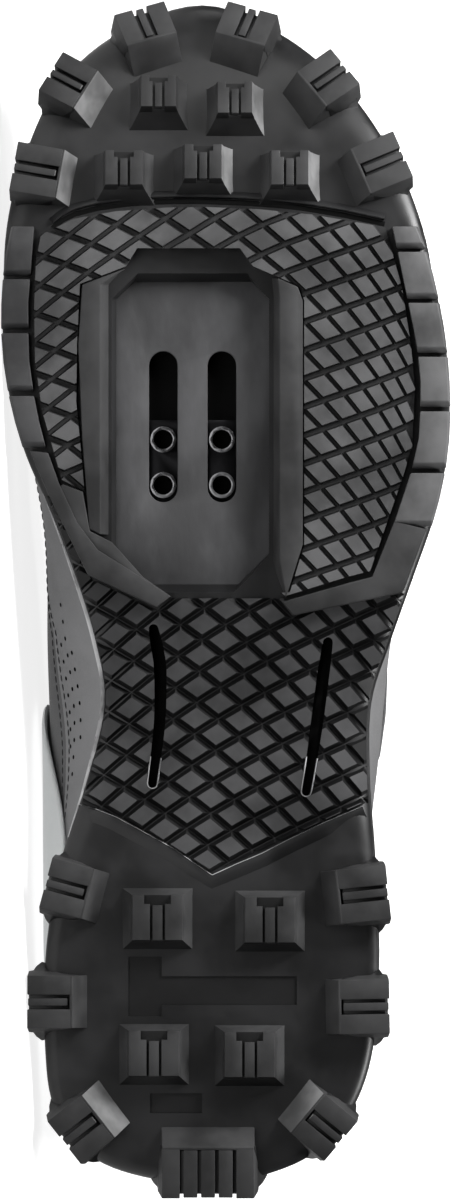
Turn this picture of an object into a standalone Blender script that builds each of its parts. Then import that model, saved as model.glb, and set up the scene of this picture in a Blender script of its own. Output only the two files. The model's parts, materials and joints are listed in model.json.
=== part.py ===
"""A left mountain-bike shoe for clip-in pedals, lying on its inner side.

The shoe is modelled upright in its own frame: +X to the toe, +Y to the outer side of the foot
and +Z up, with the tips of the lugs on the ground plane. An empty then lays it down on its inner side,
on the three points that really touch the floor. All lengths are in metres.
"""

import math
from collections import namedtuple

import bmesh
import bpy
import numpy as np
from mathutils import Matrix, Vector

MM = 0.001

# Main sizes of the shoe
SOLE_LENGTH = 282.4 * MM
BALL_WIDTH = 105.5 * MM
HEEL_STACK = 26.0 * MM  # ground to the lower edge of the upper, under the heel
INSTEP_HEIGHT = 89.0 * MM  # lower edge of the upper to the crest of the last, at the waist

# Walls and clearances
GAP = 0.3 * MM  # between pieces that lie on each other
OVERLAY_GAP = 0.6 * MM  # between the upper and what is laid over it, as both are faceted
UPPER_WALL = 2.0 * MM
COLLAR_PAD = 3.5 * MM  # extra thickness of the wall round the ankle
UPPER_INSET = 3.2 * MM  # from the edge of the sole to the foot of the upper
TOE_CAP_WALL = 1.4 * MM
COUNTER_WALL = 1.4 * MM
TONGUE_WALL = 4.0 * MM
STRAP_WALL = 1.8 * MM
TOE_CAP_REACH = 2.7  # how far the toe cap reaches along each side, in rows of LAST
COUNTER_INNER = (4.3, 1.1)  # reach of the counter at its foot in rows of LAST, and how far its edge leans
COUNTER_OUTER = (3.6, 0.6)
INSOLE_THICK = 4.0 * MM

# Outsole
EDGE_ROUND = 2.6 * MM  # how far the lower edge of the sole is rounded off
MIDSOLE_INSET = 0.8 * MM
LUG_HEIGHT = 6.0 * MM
LUG_ROOT = 2.4 * MM  # how deep a lug is rooted in the sole
LUG_CLIMB = 4.6 * MM  # how far an edge lug climbs the side of the sole
LUG_CLIMB_INNER = 3.4 * MM  # the same at its inner end
LUG_LEAN = 0.4 * MM  # how far an edge lug leans in at the tread
LUG_CLIMB_LEAN = 4.4 * MM  # how far it leans in where it ends on the side
RAMP_SPREAD = 1.6 * MM  # how much wider an edge lug is on each flank: at the foot of its ramp
TREAD_SPREAD = 1.3 * MM  # at the tread
CLIMB_SPREAD = 2.6 * MM  # where it ends on the side
INNER_SPREAD = 2.0 * MM  # and at its inner end
ROOT_SPREAD = 1.4  # spread of a field lug at its root, over its spread at the tread
SLOPE_STEP = 4.0 * MM  # how far ahead of a lug and behind it the slope of the tread is read
BLOCK_DEPTH = 1.6 * MM
BLOCK_LEAN = 0.15  # how far a block's outer side leans in, over the slope of its end
BLOCK_OVERHANG = 0.2 * MM  # how far a block stands out past the outline
SIPE_WIDTH = 0.9 * MM
SIPE_DEPTH = 2.2 * MM
SIPE_OVERRUN = 4.0 * MM  # how far a sipe's cutter runs out of the lug
SIPE_INSIDE = 0.6 * MM  # from an edge lug's inner end to its sipes
SIPE_OUTSIDE = 1.6 * MM  # from a field lug's front end to its sipes
SIPE_SHARE = {1: 1 / 7, 2: 1 / 9}  # from a lug's middle to its first sipe, as a share of its width, by bars
CUT_THROUGH = 2.0 * MM  # how far a cutter goes past what it cuts

# Cleat window, cleat plate and nut plate
WINDOW_LENGTH = 72.2 * MM
WINDOW_WIDTH = 36.5 * MM
WINDOW_FRONT_CORNER = 4.2 * MM
WINDOW_REAR_CORNER = 7.4 * MM
WINDOW_END_SLOPE = 5.0 * MM  # slope of the front and rear walls
WINDOW_SIDE_SLOPE = 2.7 * MM  # slope of the wall on the inner side
PLATE_MARGIN = 2.4 * MM  # how far the cleat plate reaches past the window
PLATE_THICK = 2.6 * MM
SLOT_SPACING = 14.0 * MM
SLOT_WIDTH = 6.8 * MM
SLOT_LENGTH = 36.0 * MM
SLOT_AHEAD = 19.5 * MM  # from the window's middle to the slots' front ends
NUT_SPACING = 10.9 * MM
NUT_BEHIND = 12.4 * MM  # from the window's middle to the rear pair of nuts
NUT_BORE = 4.6 * MM
NUT_BARREL = 6.2 * MM
NUT_BARREL_HEIGHT = 1.9 * MM
NUT_PLATE_THICK = 1.6 * MM
NUT_PLATE_MARGIN = 4.6 * MM  # from a nut's axis to the edge of its plate
INNER_RAIL = 5.2 * MM
OUTER_RAIL = 6.8 * MM
RAIL_LENGTH = 59.0 * MM
RAIL_HEIGHT = 4.4 * MM
BAND_HEIGHT = 4.9 * MM

# Places along and across the sole, as shares of its length and of the ball's width
CLEAT_ALONG = 0.646
CLEAT_ACROSS = -0.035

# Samples of the smooth forms
SOLE_STEPS = 3
LAST_STEPS = 3
WALL_ROWS = 9
BELLY_SHARE = 0.3  # share of a section's rows below its widest point
CREST_ROUND = 0.55  # roundness of a section towards the crest

# Outline of the sole: share of the length, then shares of the ball's width to the inner and outer side
OUTLINE = (
    (0.012, 0.000, 0.000),
    (0.021, 0.171, 0.133),
    (0.041, 0.280, 0.246),
    (0.078, 0.346, 0.327),
    (0.127, 0.365, 0.370),
    (0.198, 0.365, 0.384),
    (0.255, 0.346, 0.379),
    (0.301, 0.317, 0.373),
    (0.354, 0.273, 0.363),
    (0.418, 0.235, 0.366),
    (0.471, 0.256, 0.410),
    (0.524, 0.299, 0.460),
    (0.581, 0.355, 0.512),
    (0.637, 0.417, 0.540),
    (0.698, 0.455, 0.540),
    (0.758, 0.462, 0.517),
    (0.818, 0.441, 0.471),
    (0.882, 0.382, 0.382),
    (0.935, 0.303, 0.270),
    (0.974, 0.180, 0.137),
    (0.995, 0.014, -0.014),
)

# Side profile of the sole: share of the length, then heights as shares of the heel's stack:
# the tread's surface, the joint of outsole and midsole, and the foot of the upper
PROFILE = (
    (0.000, 0.365, 0.620, 1.060),
    (0.035, 0.270, 0.560, 1.020),
    (0.090, 0.231, 0.515, 1.000),
    (0.250, 0.231, 0.480, 0.980),
    (0.310, 0.290, 0.485, 0.955),
    (0.360, 0.380, 0.550, 0.925),
    (0.415, 0.420, 0.580, 0.875),
    (0.460, 0.330, 0.480, 0.800),
    (0.490, 0.240, 0.375, 0.740),
    (0.508, 0.200, 0.345, 0.710),
    (0.790, 0.200, 0.345, 0.640),
    (0.835, 0.240, 0.400, 0.670),
    (0.885, 0.358, 0.560, 0.770),
    (0.930, 0.515, 0.765, 0.905),
    (0.965, 0.700, 0.960, 1.080),
    (1.000, 0.950, 1.200, 1.320),
)

# Sections of the last. along and crest_along are shares of the sole's length, inner, outer and crest_side
# of the ball's width, belly and crest of the instep's height above the foot of the upper. The wall's edge is
# at rim, a share of the way from the widest point to the crest: 1 where the upper is closed.
Section = namedtuple("Section", "name along inner outer belly crest_along crest_side crest rim")
LAST = (
    Section("heel back", 0.016, 0.000, 0.000, 0.190, 0.170, 0.000, 1.030, 0.41),
    Section("heel turn", 0.030, 0.180, 0.171, 0.190, 0.184, 0.000, 1.055, 0.40),
    Section("heel side", 0.085, 0.312, 0.300, 0.197, 0.212, 0.000, 1.085, 0.35),
    Section("ankle", 0.170, 0.352, 0.350, 0.208, 0.255, 0.000, 1.105, 0.27),
    Section("rear of the waist", 0.276, 0.358, 0.362, 0.236, 0.312, -0.010, 1.090, 0.36),
    Section("waist", 0.375, 0.360, 0.391, 0.253, 0.375, -0.019, 1.000, 0.58),
    Section("front of the waist", 0.467, 0.367, 0.416, 0.242, 0.457, -0.033, 0.854, 0.66),
    Section("instep", 0.559, 0.369, 0.460, 0.225, 0.538, -0.038, 0.719, 0.73),
    Section("rear of the ball", 0.637, 0.402, 0.495, 0.208, 0.616, -0.038, 0.612, 0.81),
    Section("ball", 0.712, 0.427, 0.502, 0.191, 0.683, -0.038, 0.534, 1.00),
    Section("front of the ball", 0.779, 0.427, 0.474, 0.180, 0.744, -0.038, 0.472, 1.00),
    Section("toe box", 0.843, 0.389, 0.408, 0.169, 0.800, -0.033, 0.421, 1.00),
    Section("toe side", 0.903, 0.318, 0.308, 0.146, 0.850, -0.028, 0.371, 1.00),
    Section("toe turn", 0.949, 0.194, 0.166, 0.112, 0.882, -0.024, 0.331, 1.00),
    Section("toe tip", 0.974, 0.014, -0.014, 0.090, 0.892, -0.019, 0.320, 1.00),
)
LAST_ROW = {section.name: row for row, section in enumerate(LAST)}

# Lugs round the edge: places of the pad's middle along and across, heading outwards in degrees from the
# toe towards the outer side, then length and width of the pad and length of its inner ramp
EdgeLug = namedtuple("EdgeLug", "along across heading pad_length pad_width ramp bars")
EDGE_LUGS = (
    EdgeLug(0.859, -0.386, -80, 11.4 * MM, 11.2 * MM, 4.2 * MM, 1),
    EdgeLug(0.936, -0.316, -60, 9.8 * MM, 10.6 * MM, 5.8 * MM, 1),
    EdgeLug(0.978, -0.142, -19, 9.6 * MM, 11.6 * MM, 6.0 * MM, 1),
    EdgeLug(0.978, 0.087, 19, 9.6 * MM, 11.6 * MM, 6.0 * MM, 1),
    EdgeLug(0.938, 0.272, 53, 10.2 * MM, 10.6 * MM, 6.2 * MM, 1),
    EdgeLug(0.865, 0.392, 67, 11.2 * MM, 11.2 * MM, 4.6 * MM, 1),
    EdgeLug(0.261, -0.318, -75, 10.6 * MM, 11.4 * MM, 4.8 * MM, 1),
    EdgeLug(0.166, -0.357, -90, 10.8 * MM, 11.6 * MM, 4.8 * MM, 1),
    EdgeLug(0.060, -0.286, -128, 10.4 * MM, 12.0 * MM, 6.4 * MM, 1),
    EdgeLug(0.026, 0.000, 180, 12.6 * MM, 21.0 * MM, 4.0 * MM, 2),
    EdgeLug(0.062, 0.262, 130, 10.6 * MM, 11.4 * MM, 5.6 * MM, 1),
    EdgeLug(0.162, 0.352, 89, 12.2 * MM, 12.0 * MM, 4.2 * MM, 1),
    EdgeLug(0.256, 0.350, 84, 12.2 * MM, 12.0 * MM, 4.8 * MM, 1),
)

# Lugs inside the edge: places, then length and width of the pad and spread of its foot
FieldLug = namedtuple("FieldLug", "along across pad_length pad_width spread")
FIELD_LUGS = (
    FieldLug(0.920, -0.112, 8.0 * MM, 8.2 * MM, 2.0 * MM),
    FieldLug(0.915, 0.061, 8.0 * MM, 8.2 * MM, 2.0 * MM),
    FieldLug(0.859, -0.190, 8.4 * MM, 8.8 * MM, 2.0 * MM),
    FieldLug(0.864, -0.011, 8.4 * MM, 8.8 * MM, 2.0 * MM),
    FieldLug(0.859, 0.185, 8.4 * MM, 8.8 * MM, 2.0 * MM),
    FieldLug(0.233, -0.114, 10.6 * MM, 11.8 * MM, 2.0 * MM),
    FieldLug(0.231, 0.140, 10.6 * MM, 11.8 * MM, 2.0 * MM),
    FieldLug(0.1225, -0.122, 10.6 * MM, 11.8 * MM, 2.0 * MM),
    FieldLug(0.1215, 0.094, 10.6 * MM, 11.8 * MM, 2.0 * MM),
)

# Blocks of the forefoot's edge bands, as shares of the length from heel side to toe side of each
INNER_BLOCKS = ((0.627, 0.672), (0.677, 0.724), (0.729, 0.775), (0.780, 0.816))
OUTER_BLOCKS = (
    (0.564, 0.606),
    (0.611, 0.657),
    (0.662, 0.703),
    (0.708, 0.748),
    (0.753, 0.792),
    (0.797, 0.817),
)
INNER_BAND = 7.4 * MM
OUTER_BAND = 8.6 * MM
BLOCK_FLANK = 1.5 * MM  # slope of a block's end, towards the heel

# Flat bands that end the forefoot's tread, as corners along and across the sole
INNER_BAND_CORNERS = (
    (0.6230, -0.400),
    (0.5950, -0.366),
    (0.5440, -0.318),
    (0.5190, -0.268),
    (0.4930, -0.112),
    (0.5030, -0.080),
    (0.5230, -0.160),
    (0.5450, -0.262),
    (0.5700, -0.302),
    (0.6130, -0.334),
)
OUTER_BAND_CORNERS = (
    (0.5590, 0.505),
    (0.5080, 0.440),
    (0.4880, 0.190),
    (0.4980, 0.160),
    (0.5220, 0.360),
    (0.5590, 0.395),
)

# Straps over the instep: share of the way along the last's rows, width, then where the band ends on each side
Strap = namedtuple("Strap", "name row width inner_end outer_end")
STRAPS = (
    Strap("strap_front", 8.05, 19 * MM, 0.52, 0.46),
    Strap("strap_middle", 6.75, 19 * MM, 0.50, 0.44),
    Strap("strap_top", 5.35, 25 * MM, 0.48, 0.42),
)
ANGLE_STEP = math.radians(35)


def monotone(rows, x):
    """Reads the last columns of a table at x, smoothly and without overshoot, so flat stretches stay flat."""
    knots = [row[0] for row in rows]
    x = min(max(x, knots[0]), knots[-1])
    k = min(max(int(np.searchsorted(knots, x)) - 1, 0), len(rows) - 2)
    values = []
    for column in range(1, len(rows[0])):
        slope = [
            (rows[i + 1][column] - rows[i][column]) / (knots[i + 1] - knots[i]) for i in range(len(rows) - 1)
        ]
        ends = []
        for i in (k, k + 1):
            if 0 < i < len(slope) and slope[i - 1] * slope[i] > 0:
                ends.append(2 * slope[i - 1] * slope[i] / (slope[i - 1] + slope[i]))
            elif 0 < i < len(slope):
                ends.append(0.0)
            else:
                ends.append(slope[min(i, len(slope) - 1)])
        span = knots[k + 1] - knots[k]
        t = (x - knots[k]) / span
        values.append(
            (2 * t**3 - 3 * t**2 + 1) * rows[k][column]
            + (t**3 - 2 * t**2 + t) * span * ends[0]
            + (-2 * t**3 + 3 * t**2) * rows[k + 1][column]
            + (t**3 - t**2) * span * ends[1]
        )
    return values


def through(points, u):
    """A closed Catmull-Rom curve through the points, read at u, where a whole number is a point."""
    count = len(points)
    k, t = int(math.floor(u)), u - math.floor(u)
    a, b, c, d = (points[(k + i - 1) % count] for i in range(4))
    return (
        a * (-0.5 * t + t * t - 0.5 * t**3)
        + b * (1 - 2.5 * t * t + 1.5 * t**3)
        + c * (0.5 * t + 2 * t * t - 1.5 * t**3)
        + d * (-0.5 * t * t + 0.5 * t**3)
    )


def profile(x):
    """Heights at x of the tread, of the joint of outsole and midsole, and of the foot of the upper."""
    return [height * HEEL_STACK for height in monotone(PROFILE, x / SOLE_LENGTH)]


def outline_points():
    """The sole's outline as a closed ring: heel, inner side, toe, outer side."""
    inner = [Vector((a * SOLE_LENGTH, -i * BALL_WIDTH, 0)) for a, i, _ in OUTLINE]
    outer = [Vector((a * SOLE_LENGTH, o * BALL_WIDTH, 0)) for a, _, o in OUTLINE[1:-1]]
    return inner + outer[::-1]


def sole_ring(inset):
    """The outline moved inwards by inset, as points in the plan that pair up across the sole."""
    points = outline_points()
    half = len(OUTLINE) - 1
    ring = []
    for step in range(2 * half * SOLE_STEPS):
        u = step / SOLE_STEPS
        along = through(points, u + 0.01) - through(points, u - 0.01)
        inwards = Vector((-along.y, along.x, 0)).normalized()
        ring.append(through(points, u) + inwards * inset)
    return ring


SOLE_PLAN = {}


def sole_edge(x, side, inset):
    """The sole's edge at x, on the inner side (-1) or the outer side (1), moved inwards by inset."""
    if inset not in SOLE_PLAN:
        ring = sole_ring(inset)
        half = len(ring) // 2
        SOLE_PLAN[inset] = {-1: ring[: half + 1], 1: [ring[0]] + ring[:half - 1:-1]}
    points = sorted((p.x, p.y) for p in SOLE_PLAN[inset][side])
    return float(np.interp(x, [p[0] for p in points], [p[1] for p in points]))


def last_rings():
    """Rings of widest points and of crest points of the last, each closed round heel and toe."""
    belly, crest = [], []
    rows = len(LAST) - 1
    for turn in range(2 * rows):
        section = LAST[turn if turn <= rows else 2 * rows - turn]
        x = section.along * SOLE_LENGTH
        y = (-section.inner if turn <= rows else section.outer) * BALL_WIDTH
        belly.append(Vector((x, y, profile(x)[2] + section.belly * INSTEP_HEIGHT)))
        x = section.crest_along * SOLE_LENGTH
        crest.append(
            Vector((x, section.crest_side * BALL_WIDTH, profile(x)[2] + section.crest * INSTEP_HEIGHT))
        )
    return belly, crest


BELLY_RING, CREST_RING = last_rings()
TURN = 2 * (len(LAST) - 1)  # a whole way round the last, in rows


def last_point(turn, share):
    """A point of the last. turn runs from the heel along the inner side to the toe and back, in rows of LAST.
    share runs from the foot of the upper, 0, over the widest point to the crest, 1."""
    turn %= TURN
    row = min(turn, TURN - turn)
    belly = through(BELLY_RING, turn)
    crest = (through(CREST_RING, row) + through(CREST_RING, -row)) / 2
    first, last = LAST[0].along * SOLE_LENGTH, LAST[-1].along * SOLE_LENGTH
    rear = OUTLINE[0][0] * SOLE_LENGTH + UPPER_INSET
    front = OUTLINE[-1][0] * SOLE_LENGTH - UPPER_INSET
    x = rear + (belly.x - first) / (last - first) * (front - rear)
    side = -1 if turn <= TURN / 2 else 1
    foot = Vector((x, sole_edge(x, side, UPPER_INSET), profile(x)[2] + OVERLAY_GAP))
    if share <= BELLY_SHARE:
        t = share / BELLY_SHARE
        bulge = 1 - (1 - t) ** 2
        return Vector(
            (
                foot.x + (belly.x - foot.x) * bulge,
                foot.y + (belly.y - foot.y) * bulge,
                foot.z + (belly.z - foot.z) * t,
            )
        )
    t = (share - BELLY_SHARE) / (1 - BELLY_SHARE)
    reach = Vector((crest.x - belly.x, crest.y - belly.y, 0))
    rise = Vector((0, 0, crest.z - belly.z))
    shoulder, brow = belly + rise * CREST_ROUND, crest - reach * CREST_ROUND
    return (
        belly * (1 - t) ** 3
        + shoulder * 3 * t * (1 - t) ** 2
        + brow * 3 * t * t * (1 - t)
        + crest * t**3
    )


def last_normal(turn, share):
    """The outward direction of the last at that point."""
    low, high = max(share - 0.01, 0.0), min(share + 0.01, 1.0)
    along = last_point(turn + 0.04, share) - last_point(turn - 0.04, share)
    up = last_point(turn, high) - last_point(turn, low)
    return along.cross(up).normalized()


def skin(turn, share, lift):
    """A point that stands off the last by lift, outwards."""
    if share > 0.985:  # the two sides meet here, so the crest gets one direction
        row = min(turn % TURN, TURN - turn % TURN)
        normal = (last_normal(row, 0.985) + last_normal(-row, 0.985)).normalized()
        return (last_point(row, share) + last_point(-row, share)) / 2 + normal * lift
    return last_point(turn, share) + last_normal(turn, share) * lift


def rim_share(turn):
    """Where the upper's wall ends at that turn."""
    row = min(turn % TURN, TURN - turn % TURN)
    table = [(k, section.rim) for k, section in enumerate(LAST)]
    return BELLY_SHARE + (1 - BELLY_SHARE) * min(monotone(table, row)[0], 1.0)


def material(name, colour, roughness, metallic=0.0):
    """A Principled material."""
    made = bpy.data.materials.get(name) or bpy.data.materials.new(name)
    made.use_nodes = True
    shader = made.node_tree.nodes["Principled BSDF"]
    shader.inputs["Base Color"].default_value = (*colour, 1.0)
    shader.inputs["Roughness"].default_value = roughness
    shader.inputs["Metallic"].default_value = metallic
    return made


def finished(name, bm, finish, smooth=True):
    """Turns a bmesh into an object with its faces outwards."""
    bmesh.ops.remove_doubles(bm, verts=bm.verts, dist=0.00001)
    bmesh.ops.recalc_face_normals(bm, faces=bm.faces)
    mesh = bpy.data.meshes.new(name)
    bm.to_mesh(mesh)
    bm.free()
    if smooth:
        mesh.shade_smooth()
        mesh.set_sharp_from_angle(angle=ANGLE_STEP)
    mesh.materials.append(finish)
    made = bpy.data.objects.new(name, mesh)
    bpy.context.scene.collection.objects.link(made)
    return made


def band(bm, low, high):
    """Joins two closed rings of bmesh vertices by quads."""
    count = len(low)
    for i in range(count):
        j = (i + 1) % count
        bm.faces.new((low[i], low[j], high[j], high[i]))


def ladder(bm, ring):
    """Closes a ring whose points pair up across the sole, rung by rung."""
    half = len(ring) // 2
    count = len(ring)
    bm.faces.new((ring[0], ring[1], ring[-1]))
    for i in range(1, half - 1):
        bm.faces.new((ring[i], ring[i + 1], ring[count - i - 1], ring[count - i]))
    bm.faces.new((ring[half - 1], ring[half], ring[half + 1]))


def loft(bm, rings):
    """A closed solid through rings of points whose ends are ladders."""
    made = [[bm.verts.new(point) for point in ring] for ring in rings]
    for low, high in zip(made, made[1:]):
        band(bm, low, high)
    ladder(bm, made[0])
    ladder(bm, made[-1])


def raised(inset, height):
    """The sole's ring at an inset, with each point's height worked out from its place along."""
    return [Vector((p.x, p.y, height(p.x))) for p in sole_ring(inset)]


def cut(obj, cutter, operation="DIFFERENCE"):
    """Adds a Boolean by a helper object that stays out of the model."""
    cutter.hide_render = True
    cutter.display_type = "WIRE"
    modifier = obj.modifiers.new(operation.lower(), "BOOLEAN")
    modifier.operation = operation
    modifier.solver = "EXACT"
    modifier.use_self = operation == "UNION"
    modifier.object = cutter


def prism(bm, low, high):
    """A closed solid between two polygons with the same number of corners."""
    bottom = [bm.verts.new(point) for point in low]
    top = [bm.verts.new(point) for point in high]
    band(bm, bottom, top)
    bm.faces.new(bottom[::-1])
    bm.faces.new(top)


class Patch:
    """A place on the tread: its own frame of outwards, sideways and down, on the slope of the sole."""

    def __init__(self, along, across, heading):
        x, y = along * SOLE_LENGTH, across * BALL_WIDTH
        rise = profile(x + SLOPE_STEP)[0] - profile(x - SLOPE_STEP)[0]
        slope = math.atan2(rise, 2 * SLOPE_STEP)
        forwards = Vector((math.cos(slope), 0, math.sin(slope)))
        sideways = Vector((0, 1, 0))
        angle = math.radians(heading)
        self.origin = Vector((x, y, profile(x)[0]))
        self.out = forwards * math.cos(angle) + sideways * math.sin(angle)
        self.down = Vector((math.sin(slope), 0, -math.cos(slope)))
        self.side = self.down.cross(self.out)

    def at(self, out, side, down):
        return self.origin + self.out * out + self.side * side + self.down * down


def tip_drop(x):
    """Height of a lug below the tread at x: down to the ground, and less where the toe springs."""
    return LUG_HEIGHT if profile(x)[0] > LUG_HEIGHT else profile(x)[0]


def edge_lug(bm, lug):
    """A lug that hangs over the edge: a flat pad, a ramp inwards, and a heel that climbs the side."""
    patch = Patch(lug.along, lug.across, lug.heading)
    half_length, half_width = lug.pad_length / 2, lug.pad_width / 2
    tip = tip_drop(patch.origin.x)
    corners = (
        (-half_length - lug.ramp, -LUG_ROOT, RAMP_SPREAD),
        (-half_length, tip, 0.0),
        (half_length, tip, 0.0),
        (half_length - LUG_LEAN, 0.0, TREAD_SPREAD),
        (half_length - LUG_CLIMB_LEAN, -LUG_CLIMB, CLIMB_SPREAD),
        (-half_length, -LUG_CLIMB_INNER, INNER_SPREAD),
    )
    low = [patch.at(out, -half_width - spread, down) for out, down, spread in corners]
    high = [patch.at(out, half_width + spread, down) for out, down, spread in corners]
    prism(bm, low, high)


def field_lug(bm, lug):
    """A lug inside the edge: a square pad on a foot that spreads on all sides."""
    patch = Patch(lug.along, lug.across, 0)
    tip = tip_drop(patch.origin.x)

    def square(grow, down):
        length, width = lug.pad_length / 2 + grow, lug.pad_width / 2 + grow
        return [
            patch.at(out, side, down)
            for out, side in ((-length, -width), (length, -width), (length, width), (-length, width))
        ]

    prism(bm, square(lug.spread * ROOT_SPREAD, -LUG_ROOT), square(0.0, tip))


def block(bm, side, rear, front, width):
    """A block of the edge band: it follows the outline, and its end towards the heel slopes."""
    tip = tip_drop(front * SOLE_LENGTH)
    layers = []
    for down, shrink in ((-LUG_ROOT, 0.0), (tip - BLOCK_DEPTH, 0.0), (tip, BLOCK_FLANK)):
        rear_x, front_x = rear * SOLE_LENGTH + shrink, front * SOLE_LENGTH
        lean = shrink * BLOCK_LEAN - BLOCK_OVERHANG
        corners = []
        for inset, ends in ((width, (rear_x, front_x)), (lean, (front_x, rear_x))):
            for x in ends:
                height = profile(x)[0] - down
                corners.append(Vector((x, sole_edge(x, side, inset), height)))
        layers.append(corners)
    made = [[bm.verts.new(point) for point in layer] for layer in layers]
    for low, high in zip(made, made[1:]):
        band(bm, low, high)
    bm.faces.new(made[0][::-1])
    bm.faces.new(made[-1])


def flat_band(bm, corners, depth):
    """A flat raised band with these corners along and across the sole."""
    layers = []
    for down in (-LUG_ROOT, depth):
        layers.append(
            [
                Vector((a * SOLE_LENGTH, b * BALL_WIDTH, profile(a * SOLE_LENGTH)[0] - down))
                for a, b in corners
            ]
        )
    prism(bm, *layers)


def rails(bm):
    """The two rails that guide the cleat, beside the window."""
    x, middle = CLEAT_ALONG * SOLE_LENGTH, CLEAT_ACROSS * BALL_WIDTH
    tread = profile(x)[0]
    ends = RAIL_LENGTH / 2
    for side, width, slope in ((-1, INNER_RAIL, WINDOW_SIDE_SLOPE), (1, OUTER_RAIL, 0.0)):
        near = middle + side * (WINDOW_WIDTH / 2 + slope + GAP)
        far = near + side * width
        plan = ((x - ends, near), (x + ends, near), (x + ends, far), (x - ends - width / 2, far))
        low = [Vector((a, b, tread + LUG_ROOT)) for a, b in plan]
        high = [Vector((a, b, tread - RAIL_HEIGHT)) for a, b in plan]
        prism(bm, low, high)


def sipes(bm):
    """Narrow grooves along each lug, either side of its bars."""
    for lug in EDGE_LUGS + FIELD_LUGS:
        edge = isinstance(lug, EdgeLug)
        patch = Patch(lug.along, lug.across, lug.heading if edge else 0)
        tip = tip_drop(patch.origin.x)
        bars = lug.bars if edge else 1
        reach = lug.pad_length / 2 + SIPE_OVERRUN
        start = -lug.pad_length / 2 + SIPE_INSIDE if edge else -reach
        stop = reach if edge else lug.pad_length / 2 - SIPE_OUTSIDE
        spread = lug.pad_width * SIPE_SHARE[bars]
        places = (-spread, spread) if bars == 1 else (-3 * spread, -spread, spread, 3 * spread)
        for place in places:
            low, high = place - SIPE_WIDTH / 2, place + SIPE_WIDTH / 2
            bottom, top = tip + CUT_THROUGH, tip - SIPE_DEPTH
            prism(
                bm,
                [patch.at(start, s, d) for s, d in ((low, bottom), (high, bottom), (high, top), (low, top))],
                [patch.at(stop, s, d) for s, d in ((low, bottom), (high, bottom), (high, top), (low, top))],
            )


def window_corners(grow):
    """The cleat window's eight corners in the plan: rear, inner side, front, outer side."""
    x, y = CLEAT_ALONG * SOLE_LENGTH, CLEAT_ACROSS * BALL_WIDTH
    length, width = WINDOW_LENGTH / 2 + grow, WINDOW_WIDTH / 2 + grow
    rear, front = WINDOW_REAR_CORNER, WINDOW_FRONT_CORNER
    return [
        (x + a, y + b)
        for a, b in (
            (-length, rear - width),
            (rear - length, -width),
            (length - front, -width),
            (length, front - width),
            (length, width - front),
            (length - front, width),
            (rear - length, width),
            (-length, width - rear),
        )
    ]


def window_mouth():
    """The same corners at the tread, where the front, rear and inner walls have sloped outwards."""
    x = CLEAT_ALONG * SOLE_LENGTH
    places = []
    for k, (a, b) in enumerate(window_corners(0.0)):
        if k in (0, 3, 4, 7):
            a += math.copysign(WINDOW_END_SLOPE, a - x)
            b += math.copysign(WINDOW_END_SLOPE / 2, CLEAT_ACROSS * BALL_WIDTH - b)
        if k in (1, 2):
            b -= WINDOW_SIDE_SLOPE
        places.append((a, b))
    return places


def make_outsole(finish):
    """The rubber sole: a carcass with a rounded edge, lugs, blocks, bands and rails, and the cleat window."""
    bm = bmesh.new()
    loft(
        bm,
        (
            raised(EDGE_ROUND, lambda x: profile(x)[0]),
            raised(EDGE_ROUND * 0.3, lambda x: profile(x)[0] + EDGE_ROUND * 0.3),
            raised(0.0, lambda x: profile(x)[0] + EDGE_ROUND),
            raised(MIDSOLE_INSET / 2, lambda x: profile(x)[1]),
        ),
    )
    sole = finished("outsole", bm, finish)

    bm = bmesh.new()
    for lug in EDGE_LUGS:
        edge_lug(bm, lug)
    for lug in FIELD_LUGS:
        field_lug(bm, lug)
    for rear, front in INNER_BLOCKS:
        block(bm, -1, rear, front, INNER_BAND)
    for rear, front in OUTER_BLOCKS:
        block(bm, 1, rear, front, OUTER_BAND)
    flat_band(bm, INNER_BAND_CORNERS, BAND_HEIGHT)
    flat_band(bm, OUTER_BAND_CORNERS, BAND_HEIGHT)
    rails(bm)
    cut(sole, finished("lug_helper", bm, finish, smooth=False), "UNION")

    bm = bmesh.new()
    tread, joint, _ = profile(CLEAT_ALONG * SOLE_LENGTH)
    layers = [[], [], []]
    for (a, b), (c, d) in zip(window_corners(0.0), window_mouth()):
        layers[0].append(Vector((a, b, joint + CUT_THROUGH)))
        layers[1].append(Vector((a, b, joint)))
        layers[2].append(Vector((c, d, tread - LUG_HEIGHT)))
    rings = [[bm.verts.new(point) for point in layer] for layer in layers]
    for low, high in zip(rings, rings[1:]):
        band(bm, low, high)
    bm.faces.new(rings[0])
    bm.faces.new(rings[2])
    cut(sole, finished("window_helper", bm, finish, smooth=False))

    bm = bmesh.new()
    sipes(bm)
    cut(sole, finished("sipe_helper", bm, finish, smooth=False))
    return sole


def slot_cutter(name, low, high, finish):
    """Two slots with round ends, as a helper solid between two heights."""
    bm = bmesh.new()
    middle = CLEAT_ACROSS * BALL_WIDTH
    front = CLEAT_ALONG * SOLE_LENGTH + SLOT_AHEAD
    radius = SLOT_WIDTH / 2
    rear = front - SLOT_LENGTH
    for side in (-1, 1):
        y = middle + side * SLOT_SPACING / 2
        ring = []
        for k in range(7):
            angle = math.pi * (k / 6 - 0.5)
            ring.append((front - radius + radius * math.cos(angle), y + radius * math.sin(angle)))
        for k in range(7):
            angle = math.pi * (k / 6 + 0.5)
            ring.append((rear + radius + radius * math.cos(angle), y + radius * math.sin(angle)))
        prism(bm, [Vector((a, b, low)) for a, b in ring], [Vector((a, b, high)) for a, b in ring])
    return finished(name, bm, finish, smooth=False)


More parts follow.
